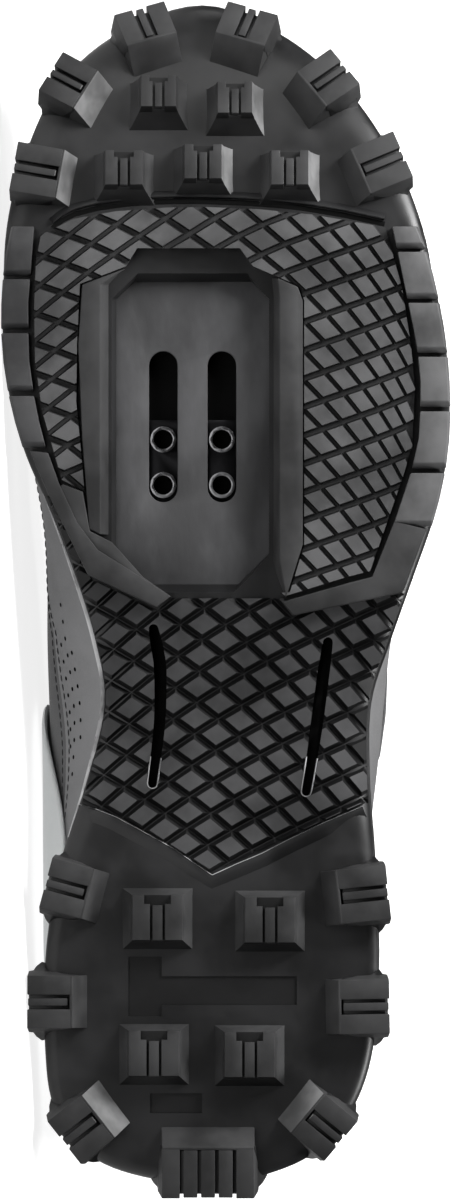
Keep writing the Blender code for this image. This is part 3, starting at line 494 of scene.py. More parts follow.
class Bench:
    """Work on one mesh at a time with Blender's own operators."""

    @staticmethod
    def only(*objects: Object) -> None:
        """Selects these objects and nothing else, the first one active.

        Args:
            objects: the objects to select.
        """
        bpy.ops.object.select_all(action="DESELECT")
        for obj in objects:
            obj.select_set(True)
        bpy.context.view_layer.objects.active = objects[0]

    @staticmethod
    def edit(obj: Object, *steps: Callable[[], object]) -> Object:
        """Runs steps on the whole of a mesh in edit mode.

        Args:
            obj: the mesh object.
            steps: calls of Blender's mesh operators.

        Returns:
            The object.
        """
        Bench.only(obj)
        bpy.ops.object.mode_set(mode="EDIT")
        bpy.ops.mesh.select_all(action="SELECT")
        for step in steps:
            step()
        bpy.ops.object.mode_set(mode="OBJECT")
        return obj

    @staticmethod
    def stack(name: str, rings: Sequence[Sequence[Sequence[float]]]) -> Object:
        """A closed solid through outlines with the same number of corners.

        A filled circle is extruded once for each further outline, and its corners are pulled into place.

        Args:
            name: the object's name.
            rings: the outlines, as points in the shoe's frame.

        Returns:
            The new object.
        """
        count = len(rings[0])
        bpy.ops.object.select_all(action="DESELECT")
        bpy.ops.mesh.primitive_circle_add(vertices=count, radius=1.0, fill_type="NGON", location=(0, 0, 0))
        obj = bpy.context.object
        bpy.ops.object.mode_set(mode="EDIT")
        for _ in rings[1:]:
            bpy.ops.mesh.extrude_region_move(TRANSFORM_OT_translate={"value": (0, 0, 1)})
        bpy.ops.object.mode_set(mode="OBJECT")
        for vertex in obj.data.vertices:
            level = int(round(vertex.co.z))
            turned = math.atan2(vertex.co.y, vertex.co.x) - math.pi / 2
            corner = int(round(turned / (2 * math.pi) * count)) % count
            vertex.co = rings[level][corner]
        obj.name = obj.data.name = name
        return obj

    @staticmethod
    def from_arrays(name: str, points: Sequence[Sequence[float]], faces: Sequence[Sequence[int]]) -> Object:
        """A mesh object from points and faces, for forms and repeats that no operator makes.

        Args:
            name: the object's name.
            points: the mesh's points.
            faces: the mesh's faces, as indices of its points.

        Returns:
            The new object.
        """
        mesh = bpy.data.meshes.new(name)
        mesh.from_pydata([tuple(p) for p in points], [], [tuple(f) for f in faces])
        obj = bpy.data.objects.new(name, mesh)
        bpy.context.scene.collection.objects.link(obj)
        return obj

    @staticmethod
    def drape(name: str, columns: int, rows: int, place: Callable[..., np.ndarray]) -> Object:
        """A grid whose points are laid in place by a rule, with its own UV map.

        Args:
            name: the object's name.
            columns: faces along u.
            rows: faces along v.
            place: gives the points from arrays of u and v, each from 0 to 1.

        Returns:
            The new object.
        """
        bpy.ops.object.select_all(action="DESELECT")
        bpy.ops.mesh.primitive_grid_add(
            x_subdivisions=columns, y_subdivisions=rows, size=1.0, location=(0, 0, 0), calc_uvs=True
        )
        obj = bpy.context.object
        count = len(obj.data.vertices)
        flat = np.empty(count * 3, np.float32)
        obj.data.vertices.foreach_get("co", flat)
        flat = flat.reshape(-1, 3).astype(float)
        points = place(flat[:, 0] + 0.5, flat[:, 1] + 0.5)
        obj.data.vertices.foreach_set("co", points.astype(np.float32).ravel())
        obj.name = obj.data.name = name
        obj.data.update()
        return obj

    @staticmethod
    def tube(name: str, points: Sequence[Sequence[float]], sides: int) -> Object:
        """A closed solid through rings of points that follow each other, with flat ends.

        Args:
            name: the object's name.
            points: the points, ring after ring.
            sides: how many points a ring has.

        Returns:
            The new object.
        """
        faces: list[tuple[int, ...]] = []
        for k in range(len(points) // sides - 1):
            for j in range(sides):
                i, a, b = (j + 1) % sides, k * sides, (k + 1) * sides
                faces.append((a + j, a + i, b + i, b + j))
        faces += [tuple(range(sides)), tuple(range(len(points) - sides, len(points)))]
        return Bench.outwards(Bench.from_arrays(name, points, faces))

    @staticmethod
    def face_along(obj: Object, outside: Callable[[Vector], Vector]) -> Object:
        """Turns an open sheet over if its faces don't point along a rule's directions.

        Args:
            obj: the sheet.
            outside: gives the outward direction at a point.

        Returns:
            The sheet.
        """
        vote = sum(f.normal.dot(outside(f.center)) * f.area for f in obj.data.polygons)
        return Bench.edit(obj, bpy.ops.mesh.flip_normals) if vote < 0 else obj

    @staticmethod
    def thicken(obj: Object, wall: float, **settings: object) -> Object:
        """Gives a sheet its wall, then rounds its edges by one subdivision.

        Args:
            obj: the sheet.
            wall: the thickness, outwards unless the settings say otherwise.
            settings: further settings of the Solidify modifier.

        Returns:
            The sheet, now a closed shell.
        """
        usual = {"offset": 1.0, "use_even_offset": True}
        Bench.modify(obj, "SOLIDIFY", thickness=wall, **(usual | settings))
        return Bench.modify(obj, "SUBSURF", levels=1, render_levels=1)

    @staticmethod
    def outwards(obj: Object) -> Object:
        """Merges doubles and turns all faces of closed shells outwards."""
        return Bench.edit(
            obj,
            lambda: bpy.ops.mesh.remove_doubles(threshold=DOUBLES),
            lambda: bpy.ops.mesh.normals_make_consistent(inside=False),
        )

    @staticmethod
    def join(name: str, objects: Sequence[Object]) -> Object:
        """Joins objects into one mesh.

        Args:
            name: the name of the joined object.
            objects: the objects, at least one.

        Returns:
            The joined object.
        """
        Bench.only(*objects)
        if len(objects) > 1:
            bpy.ops.object.join()
        obj = bpy.context.view_layer.objects.active
        obj.name = obj.data.name = name
        return Bench.outwards(obj)

    @staticmethod
    def modify(obj: Object, kind: str, **values: object) -> Object:
        """Adds a modifier and applies it.

        Args:
            obj: the mesh object.
            kind: the modifier's type.
            values: its settings.

        Returns:
            The object.
        """
        Bench.only(obj)
        modifier = obj.modifiers.new(kind.lower(), kind)
        for key, value in values.items():
            setattr(modifier, key, value)
        bpy.ops.object.modifier_apply(modifier=modifier.name)
        return obj

    @staticmethod
    def boolean(obj: Object, other: Object, operation: str = "DIFFERENCE") -> Object:
        """Applies a Boolean with another object, which is then removed.

        Args:
            obj: the object that is cut or joined to.
            other: the tool.
            operation: the kind of Boolean.

        Returns:
            The object.
        """
        Bench.modify(obj, "BOOLEAN", operation=operation, solver="EXACT", object=other)
        bpy.data.objects.remove(other)
        return obj

    @staticmethod
    def bevel(obj: Object, width: float) -> Object:
        """Rounds the edges that are sharper than BEVEL_ANGLE, with two segments.

        Args:
            obj: the mesh object.
            width: the width of the rounding.

        Returns:
            The object.
        """
        angle = math.radians(BEVEL_ANGLE)
        rule = {"limit_method": "ANGLE", "angle_limit": angle, "use_clamp_overlap": True}
        return Bench.modify(obj, "BEVEL", width=width, segments=2, harden_normals=False, **rule)

    @staticmethod
    def smooth(obj: Object, angle: float = 40.0) -> Object:
        """Shades an object smooth.

        Args:
            obj: the mesh object.
            angle: the angle in degrees above which edges stay sharp.

        Returns:
            The object.
        """
        Bench.only(obj)
        bpy.ops.object.shade_smooth_by_angle(angle=math.radians(angle))
        return obj

    @staticmethod
    def move_points(obj: Object, place: Callable[[Vector], Vector]) -> None:
        """Moves every point of a mesh by a rule."""
        for vertex in obj.data.vertices:
            vertex.co = place(vertex.co)


class Shoe:
    """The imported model, and where the shoe's own frame lies in it."""

    seat_place = (182.43, -3.69, 9.27)
    heel_place = (34.31, 9.92, 0.0)

    def __init__(self) -> None:
        """Loads the frame and works out the matrix from the shoe's frame to the row's.

        The mounts on the cleat's seat and on a heel lug are known in both frames: in millimetres above, and
        in the record.
        """
        self.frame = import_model()
        self.cad_box = [list(corner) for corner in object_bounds()]
        mounts = {mount["name"]: mount for mount in self.frame["record"]["mounts"]}
        seat, heel = mounts["cleat_seat"], mounts["heel_tread"]
        up, upright = -Vector(seat["axis"]).normalized(), Vector((0, 0, 1))
        seat_shoe, heel_shoe = Vector(self.seat_place) * MM, Vector(self.heel_place) * MM
        seat_row, heel_row = Vector(seat["pos_m"]), Vector(heel["pos_m"])
        across = self.flat(seat_row - heel_row, up)
        drawn = self.flat(seat_shoe - heel_shoe, upright)
        here = Matrix((drawn, upright.cross(drawn), upright))
        there = Matrix((across, up.cross(across), up)).transposed()
        turn = there @ here
        self.matrix = Matrix.Translation(seat_row - turn @ seat_shoe) @ turn.to_4x4()

    @staticmethod
    def flat(line: Vector, up: Vector) -> Vector:
        """The direction of a line without its part along up."""
        return (line - up * line.dot(up)).normalized()

    def lay(self, obj: Object, slot: str, *nodes: str) -> Object:
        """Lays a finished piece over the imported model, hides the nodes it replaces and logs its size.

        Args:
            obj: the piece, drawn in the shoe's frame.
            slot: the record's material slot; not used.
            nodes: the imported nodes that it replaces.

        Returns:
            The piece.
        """
        obj.data.transform(self.matrix)
        obj.data.update()
        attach(obj, "root")
        if nodes:
            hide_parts(*nodes)
        LOG.info("%s: %d faces", obj.name, len(obj.data.polygons))
        return obj


@dataclass(frozen=True)
class NodeBook:
    """Short ways to write a material's nodes."""

    tree: bpy.types.NodeTree

    def feed(self, socket: bpy.types.NodeSocket, value: object) -> None:
        """Links an output to a socket, or sets its value.

        Args:
            socket: the input.
            value: an output socket or a plain value.
        """
        if isinstance(value, bpy.types.NodeSocket):
            self.tree.links.new(value, socket)
        else:
            socket.default_value = value

    def fill(self, node: bpy.types.Node, inputs: dict[str, object]) -> bpy.types.Node:
        """Feeds several inputs of a node.

        Args:
            node: the node.
            inputs: values or outputs by the inputs' names.

        Returns:
            The node.
        """
        for key, value in inputs.items():
            self.feed(node.inputs[key], value)
        return node

    def add(self, kind: str, **inputs: object) -> bpy.types.Node:
        """Adds a node with its inputs, which are named with underscores for spaces."""
        return self.fill(self.tree.nodes.new(kind), {k.replace("_", " "): v for k, v in inputs.items()})

    def group(self, tree: bpy.types.NodeTree, **inputs: float) -> bpy.types.Node:
        """Adds a node group with its inputs.

        Args:
            tree: the group.
            inputs: values of its inputs.

        Returns:
            The node that uses the group.
        """
        node = self.tree.nodes.new("ShaderNodeGroup")
        node.node_tree = tree
        return self.fill(node, inputs)

    def maths(self, operation: str, *values: object) -> bpy.types.NodeSocket:
        """A Math node's result.

        Args:
            operation: what the node does.
            values: its values or links.

        Returns:
            The output.
        """
        node = self.tree.nodes.new("ShaderNodeMath")
        node.operation = operation
        for socket, value in zip(node.inputs, values):
            self.feed(socket, value)
        return node.outputs[0]

    def mix(self, share: object, low: object, high: object) -> bpy.types.NodeSocket:
        """A mix of two colours.

        Args:
            share: the share of the second colour.
            low: the first colour.
            high: the second colour.

        Returns:
            The output.
        """
        node = self.tree.nodes.new("ShaderNodeMix")
        node.data_type = "RGBA"
        return self.fill(node, {"Factor": share, "A": low, "B": high}).outputs["Result"]

    def between(self, value: object, low: float, high: float, a: float = 0.0, b: float = 1.0) -> object:
        """Maps a value smoothly from one span to another.

        Args:
            value: the value or link.
            low: start of the span that it comes from.
            high: end of that span.
            a: start of the new span.
            b: end of the new span.

        Returns:
            The output.
        """
        node = self.tree.nodes.new("ShaderNodeMapRange")
        node.interpolation_type = "SMOOTHSTEP"
        spans = {"Value": value, "From Min": low, "From Max": high, "To Min": a, "To Max": b}
        return self.fill(node, spans).outputs["Result"]

    def bump(self, height: object, strength: float, distance: float) -> bpy.types.NodeSocket:
        """The normals of a relief."""
        node = self.add("ShaderNodeBump", Height=height, Strength=strength, Distance=distance)
        return node.outputs["Normal"]


NodeFiller = Callable[[NodeBook, bpy.types.Node, bpy.types.Node], None]


def node_group(name: str, inputs: str, outputs: str, filler: NodeFiller) -> bpy.types.NodeTree:
    """A node group with number sockets, made once.

    Args:
        name: the group's name.
        inputs: names of its inputs, with spaces between.
        outputs: names of its outputs, with spaces between.
        filler: adds the nodes, from the group's book, input node and output node.

    Returns:
        The group.
    """
    if name in bpy.data.node_groups:
        return bpy.data.node_groups[name]
    group = bpy.data.node_groups.new(name, "ShaderNodeTree")
    for direction, keys in (("INPUT", inputs), ("OUTPUT", outputs)):
        for key in keys.split():
            group.interface.new_socket(key, in_out=direction, socket_type="NodeSocketFloat")
    filler(NodeBook(group), group.nodes.new("NodeGroupInput"), group.nodes.new("NodeGroupOutput"))
    return group


def moulded_grain(book: NodeBook, source: bpy.types.Node, sink: bpy.types.Node) -> None:
    """Fills the group with the fine relief and the mottling of moulded rubber.

    Args:
        book: the group's nodes.
        source: its input node, with Scale and Stretch.
        sink: its output node, with Height and Mottle.
    """
    place = book.tree.nodes.new("ShaderNodeVectorMath")
    place.operation = "MULTIPLY"
    book.feed(place.inputs[0], book.add("ShaderNodeTexCoord").outputs["Object"])
    spread = book.add("ShaderNodeCombineXYZ", X=source.outputs["Stretch"], Y=1.0, Z=1.0)
    book.feed(place.inputs[1], spread.outputs["Vector"])
    place = place.outputs["Vector"]
    fine = book.add("ShaderNodeTexNoise", Vector=place, Scale=source.outputs["Scale"], Detail=3.0)
    large = book.add("ShaderNodeTexNoise", Vector=place, Scale=55.0, Detail=4.0, Roughness=0.6)
    mottle = book.between(large.outputs["Fac"], 0.32, 0.68)
    book.fill(sink, {"Height": fine.outputs["Fac"], "Mottle": mottle})


def leather_grain(book: NodeBook, source: bpy.types.Node, sink: bpy.types.Node) -> None:
    """Fills the group with the pebbled grain and the mottling of synthetic leather.

    Args:
        book: the group's nodes.
        source: its input node, with Scale.
        sink: its output node, with Height and Mottle.
    """
    place = book.add("ShaderNodeTexCoord").outputs["Object"]
    pebble = book.add("ShaderNodeTexVoronoi", Vector=place, Scale=source.outputs["Scale"])
    pebble.feature = "DISTANCE_TO_EDGE"
    large = book.add("ShaderNodeTexNoise", Vector=place, Scale=40.0, Detail=5.0, Roughness=0.62)
    height = book.maths("MINIMUM", pebble.outputs["Distance"], 0.25)
    book.fill(sink, {"Height": height, "Mottle": book.between(large.outputs["Fac"], 0.3, 0.7)})


def thread_weave(book: NodeBook, source: bpy.types.Node, sink: bpy.types.Node) -> None:
    """Fills the group with threads that cross, on the piece's UV map.

    Args:
        book: the group's nodes.
        source: its input node, with Along and Across as threads over the map.
        sink: its output node, with Height.
    """
    parts = book.add("ShaderNodeSeparateXYZ", Vector=book.add("ShaderNodeTexCoord").outputs["UV"])
    waves = []
    for axis, count in (("X", "Along"), ("Y", "Across")):
        turns = book.maths("MULTIPLY", parts.outputs[axis], source.outputs[count])
        waves.append(book.maths("SINE", book.maths("MULTIPLY", turns, 2 * math.pi)))
    book.feed(sink.inputs["Height"], book.between(book.maths("MULTIPLY", *waves), -1.0, 1.0))


@dataclass(frozen=True)
class Finish:
    """A finish, which is made into a material once. Each kind of finish has its own shader."""

    name: str
    colour: tuple[float, float, float]

    def shade(self, book: NodeBook) -> dict[str, object]:
        """The inputs of the material's shader, by name."""
        raise NotImplementedError

    def material(self) -> bpy.types.Material:
        """The finish as a material, made once.

        Returns:
            The material.
        """
        if self.name in bpy.data.materials:
            return bpy.data.materials[self.name]
        made = bpy.data.materials.new(self.name)
        made.use_nodes = True
        book = NodeBook(made.node_tree)
        book.fill(made.node_tree.nodes["Principled BSDF"], self.shade(book))
        return made

    def mottled(self, book: NodeBook, share: object, mottle: float) -> bpy.types.NodeSocket:
        """The colour, between a darker and a lighter shade of it.

        Args:
            book: the material's nodes.
            share: the share of the lighter shade.
            mottle: how far the shades lie from the colour, as a share of it.

        Returns:
            The output.
        """
        low = tuple(c * (1 - mottle) for c in self.colour)
        high = tuple(c * (1 + mottle) for c in self.colour)
        return book.mix(share, (*low, 1), (*high, 1))

    def dress(self, obj: Object, *others: "Finish", rule: Callable | None = None) -> Object:
        """Gives an object this finish, and some of its faces others.

        Args:
            obj: the mesh object.
            others: further finishes.
            rule: gives a face's finish, 0 for this one and 1 or more for the others.

        Returns:
            The object.
        """
        obj.data.materials.clear()
        for finish in (self, *others):
            obj.data.materials.append(finish.material())
        if rule:
            for face in obj.data.polygons:
                face.material_index = rule(face)
        return obj


@dataclass(frozen=True)
class RubberFinish(Finish):
    """Moulded rubber, nylon or steel: how much it mottles, its grain and its sheen."""

    mottle: float = 0.25
    roughness: float = 0.55
    grain_scale: float = 5200.0
    grain_depth: float = 0.03 * MM
    specular: float = 0.3
    coat: float = 0.0
    stretch: float = 1.0
    metallic: float = 0.0
    uneven: float = 0.06

    def shade(self, book: NodeBook) -> dict[str, object]:
        """The inputs of the material's shader, by name.

        Args:
            book: the material's nodes.

        Returns:
            Values and outputs by the inputs' names.
        """
        tree = node_group("moulded grain", "Scale Stretch", "Height Mottle", moulded_grain)
        grain = book.group(tree, Scale=self.grain_scale, Stretch=self.stretch).outputs
        low, high = self.roughness - self.uneven, self.roughness + self.uneven
        return {
            "Base Color": self.mottled(book, grain["Mottle"], self.mottle),
            "Roughness": book.between(grain["Mottle"], 0.0, 1.0, low, high),
            "Metallic": self.metallic,
            "Specular IOR Level": self.specular,
            "Coat Weight": self.coat,
            "Coat Roughness": 0.3,
            "Normal": book.bump(grain["Height"], 0.6, self.grain_depth),
        }


@dataclass(frozen=True)
class LeatherFinish(Finish):
    """A synthetic leather or film: its grain and its sheen."""

    mottle: float = 0.12
    roughness: float = 0.55
    scale: float = 1500.0
    depth: float = 0.05 * MM
    duller: float = 0.12

    def shade(self, book: NodeBook) -> dict[str, object]:
        """The inputs of the material's shader, by name.

        Args:
            book: the material's nodes.

        Returns:
            Values and outputs by the inputs' names.
        """
        tree = node_group("leather grain", "Scale", "Height Mottle", leather_grain)
        grain = book.group(tree, Scale=self.scale).outputs
        dull = self.roughness + self.duller
        return {
            "Base Color": self.mottled(book, grain["Mottle"], self.mottle),
            "Roughness": book.between(grain["Height"], 0.0, 0.25, dull, self.roughness),
            "Normal": book.bump(grain["Height"], 0.5, self.depth),
        }


class Weave(Enum):
    """How a cloth is made, as how dark the gaps between its threads are painted: painted shade."""

    WOVEN = 0.55
    MESH = 0.2
    WEBBING = 0.45


@dataclass(frozen=True)
class FabricFinish(Finish):
    """A cloth whose threads follow the piece's UV map."""

    along: float
    across: float
    kind: Weave = Weave.WOVEN
    depth: float = 0.12 * MM
    sheen: float = 0.25

    def shade(self, book: NodeBook) -> dict[str, object]:
        """The inputs of the material's shader, by name.

        Args:
            book: the material's nodes.

        Returns:
            Values and outputs by the inputs' names.
        """
        tree = node_group("thread weave", "Along Across", "Height", thread_weave)
        height = book.group(tree, Along=self.along, Across=self.across).outputs["Height"]
        # The gaps between the threads are darker: painted shade in the weave.
        low = tuple(c * self.kind.value for c in self.colour)
        return {
            "Base Color": book.mix(book.between(height, 0.1, 0.75), (*low, 1), (*self.colour, 1)),
            "Roughness": 0.85,
            "Sheen Weight": self.sheen,
            "Normal": book.bump(height, 0.7, self.depth),
        }


CARCASS_RUBBER = RubberFinish("carcass rubber", (0.0078, 0.0078, 0.0082), 0.5, 0.44, specular=0.28, coat=0.2)
LUG_RUBBER = RubberFinish("lug rubber", (0.025, 0.025, 0.0255), 0.4, 0.62, specular=0.2)
BLOCK_RUBBER = RubberFinish("block rubber", (0.034, 0.034, 0.035), 0.4, 0.6, specular=0.2)
# Lighter copy of the block rubber for the outer blocks: a painted sheen.
PAINTED_SHEEN_RUBBER = RubberFinish("painted sheen rubber", (0.062, 0.062, 0.063), 0.4, 0.55, specular=0.3)
FIELD_RUBBER = RubberFinish("tread rubber", (0.056, 0.056, 0.057), 0.4, 0.6, specular=0.2)
# Near-black for recess floors, lug grooves and rear slopes, and cell sides facing away: painted shade.
PAINTED_SHADE_RUBBER = RubberFinish("painted shade rubber", (0.005, 0.005, 0.0052), roughness=0.5, specular=0.25)
# Lighter rubber on the lug slopes that face the lamps: a painted highlight.
PAINTED_LIT_SLOPE_RUBBER = RubberFinish("painted lit slope rubber", (0.11, 0.11, 0.111), mottle=0.5, roughness=0.6)
# Light thin lines along the arch, the rear lip and the slits' rear ends: painted highlights.
PAINTED_HIGHLIGHT_LINE = RubberFinish("painted highlight line", (0.30, 0.30, 0.305), mottle=0.6, roughness=0.3)
# Near-black for the slits, the channel, the pinholes and the pocket seen through the slots: painted shade.
PAINTED_HOLE_SHADE = RubberFinish("painted hole shade", (0.002, 0.002, 0.002), roughness=0.8, specular=0.1)
# Near-black for the sides of the waist cells, down in the V grooves: painted shade.
WAIST_PAINTED_SHADE = RubberFinish("waist painted shade rubber", (0.0028, 0.0028, 0.003), roughness=0.5, specular=0.2)
# Darker than the cell tops, for the forefoot's groove floors and the cell sides that face the lamps: painted
# shade.
GROOVE_FLOOR_SHADE = RubberFinish("groove floor painted shade", (0.020, 0.020, 0.0205), roughness=0.55, specular=0.25)
PLATE_NYLON = RubberFinish("plate nylon", (0.053, 0.053, 0.055), 0.4, 0.7, 900.0, 0.08 * MM, stretch=0.45)
# Steel darkened almost to black for the nut plate behind the slots: painted shade.
SHADED_NUT_STEEL = RubberFinish("nut steel", (0.015, 0.015, 0.016), 0.15, 0.4, 3000.0, 0.01 * MM, metallic=1.0)
BARREL_STEEL = RubberFinish("barrel steel", (0.28, 0.28, 0.29), 0.15, 0.28, 3000.0, 0.01 * MM, metallic=1.0)
CAP_RUBBER = RubberFinish("toe cap rubber", (0.016, 0.016, 0.017), roughness=0.5)
MIDSOLE_FOAM = RubberFinish("midsole foam", (0.013, 0.013, 0.014), roughness=0.5, grain_scale=2600.0)
UPPER_LEATHER = LeatherFinish("upper leather", (0.11, 0.11, 0.112))
RAND_LEATHER = LeatherFinish("rand leather", (0.21, 0.21, 0.214), roughness=0.6)
COUNTER_FILM = LeatherFinish("counter film", (0.72, 0.74, 0.74), 0.05, 0.35, depth=0.02 * MM)
TONGUE_MESH = FabricFinish("tongue mesh", (0.035, 0.035, 0.037), 56.0, 40.0, Weave.MESH)
STRAP_WEB = FabricFinish("strap webbing", (0.04, 0.04, 0.042), 120.0, 16.0, Weave.WEBBING)
INSOLE_COVER = FabricFinish("insole cover", (0.05, 0.05, 0.055), 60.0, 150.0)
THREAD = FabricFinish("thread", (0.03, 0.03, 0.031), 8.0, 8.0)
LINING = FabricFinish("lining mesh", (0.045, 0.045, 0.047), 420.0, 70.0, Weave.MESH)


class Patch:
    """A place on the tread with its own outwards, sideways and down, and the height of a lug's tip there."""

    def __init__(self, x: float, y: float, heading: float) -> None:
        """Works out the directions at a place.

        Args:
            x: the place along the sole.
            y: the place across.
            heading: where outwards points, in degrees from the toe to the outer side.
        """
        slope = SOLE.slope(x)
        forwards = Vector((math.cos(slope), 0, math.sin(slope)))
        angle = math.radians(heading)
        self.origin = Vector((x, y, SOLE.tread(x)))
        self.out = forwards * math.cos(angle) + Vector((0, 1, 0)) * math.sin(angle)
        self.down = Vector((math.sin(slope), 0, -math.cos(slope)))
        self.side = self.down.cross(self.out)
        self.tip = min(SOLE.tread(self.origin.x), SIZE.lug_height)

    def at(self, out: float, side: float, down: float) -> Vector:
        """The point at these distances from the patch's middle."""
        return self.origin + self.out * out + self.side * side + self.down * down


class Lug:
    """What both kinds of lug have: a place on the tread, as shares of length and ball width."""

    def patch(self) -> Patch:
        """The lug's place on the tread."""
        return Patch(self.along * SIZE.length, self.across * SIZE.ball, self.heading)


@dataclass(frozen=True)
class EdgeLug(Lug):
    """A lug that hangs over the sole's edge. Sizes are in millimetres."""

    along: float
    across: float
    heading: float
    length: float
    width: float
    ramp: float
    bars: int = 2
    # Whether its ramp gets the lighter rubber of a painted highlight.
    painted_lit_slopes: bool = False
    flare: float = 0.5
    spread: float = 1.5
    lip: float = 0.7
    sink: float = 1.9
    groove: float = 0.85

    def build(self) -> list[Object]:
        """The lug's body with its ramp, the bars on it, and the ribs between them.

        Returns:
            The closed pieces.
        """
        patch = self.patch()
        tip = patch.tip
        length, half = self.length / 2 * MM, self.width / 2 * MM
        floor, lip = tip - self.sink * MM, self.lip * MM

        def wall(side: float, spread: float, outline: Plan) -> list[Vector]:
            """One end of a bar or body: the outline at this side, wider towards the root."""
            corners = []
            for out, down in outline:
                deep = max(tip - down, 0.0) / (tip + SIZE.lug_root)
                fan = self.flare * MM * out / length
                root = (self.spread * MM * deep + fan) * spread
                corners.append(patch.at(out, side + math.copysign(root, side), down))
            return corners

        heel = ((length - 0.3 * MM, 0.0), (length - 3.0 * MM, -3.4 * MM), (length - 5.0 * MM, -3.8 * MM))
        foot = (-length - self.ramp * MM, -SIZE.lug_root)
        pad = ((-length, tip), (-length + lip, tip), (-length + lip, floor), (length - 0.7 * MM, floor))
        body = (foot, *pad, *heel)
        made = [Bench.stack("lug", (wall(-half + 0.05 * MM, 1, body), wall(half - 0.05 * MM, 1, body)))]
        bar = (0.35 if self.bars == 2 else 0.18) * self.width * MM
        outline = ((-length + 0.3 * MM, floor - 1.5 * MM), (-length + 0.3 * MM, tip), (length, tip), *heel)
        for side in (-1, 1):
            ends = (wall(side * (half - bar), 0, outline), wall(side * half, 1, outline))
            made.append(Bench.stack("bar", ends))
        gaps = self.bars - 1
        inner, groove = 2 * (half - bar), self.groove * MM
        rib = (inner - groove * (gaps + 1)) / gaps
        for k in range(gaps):
            middle = -inner / 2 + groove + rib / 2 + k * (rib + groove)
            low, start = (0.0, lip) if gaps == 3 else (0.2 * MM, 1.2 * MM)
            rise = ((-length + start, floor - 1.5 * MM), (-length + start, tip - low))
            top = (*rise, (length - 0.2 * MM, tip - low), *heel)
            made.append(Bench.stack("rib", tuple(wall(middle + a * rib / 2, 0, top) for a in (-1, 1))))
        return made

    def foot(self) -> Object:
        """The web that spreads from the lug's flanks into the rim of the carcass.

        Returns:
            The closed web.
        """
        patch = self.patch()
        length, half = self.length / 2, self.width / 2
        rings = []
        for down, spread, lean in WEB_RINGS:
            depth = down if down <= 0 else down * patch.tip / MM
            ring = []
            for out, side in ((-length + 1, -1), (length - lean, -1), (length - lean, 1), (-length + 1, 1)):
                reach = half + spread * (1.0 if out > 0 else 0.45)
                ring.append(patch.at(out * MM, side * reach * MM, depth * MM))
            rings.append(ring)
        return Bench.stack("foot", rings)


# Rings of the web round an edge lug, in millimetres: depth below the carcass, or share of the tip's depth
# where positive, then how far the ring spreads sideways and how far it lies back from the lug's outer end
WEB_RINGS = ((-3.6, 3.8, 3.4), (-1.6, 2.7, 2.0), (0.0, 1.7, 1.3), (0.4, 1.0, 1.0), (0.75, 0.5, 0.8))

# Each row: along, across, heading, length, width and ramp
EDGE_LUGS = (
    EdgeLug(0.863, -0.386, -80, 11.4, 11.2, 4.2, painted_lit_slopes=True),
    EdgeLug(0.936, -0.316, -60, 9.8, 10.6, 5.8, painted_lit_slopes=True),
    EdgeLug(0.9815, -0.142, -19, 9.6, 11.6, 6.0),
    EdgeLug(0.9815, 0.087, 19, 9.6, 11.6, 6.0),
    EdgeLug(0.938, 0.272, 53, 10.2, 10.6, 6.2),
    EdgeLug(0.869, 0.392, 67, 11.2, 11.2, 4.6),
    EdgeLug(0.261, -0.318, -75, 10.6, 11.4, 4.8),
    EdgeLug(0.166, -0.357, -90, 10.8, 11.6, 4.8),
    EdgeLug(0.060, -0.286, -128, 10.4, 12.0, 6.4, painted_lit_slopes=True),
    EdgeLug(0.026, 0.000, 180, 12.6, 21.0, 4.0, bars=4),
    EdgeLug(0.062, 0.262, 130, 10.6, 11.4, 5.6, painted_lit_slopes=True),
    EdgeLug(0.162, 0.352, 89, 12.2, 12.0, 4.2),
    EdgeLug(0.256, 0.350, 84, 12.2, 12.0, 4.8),
)


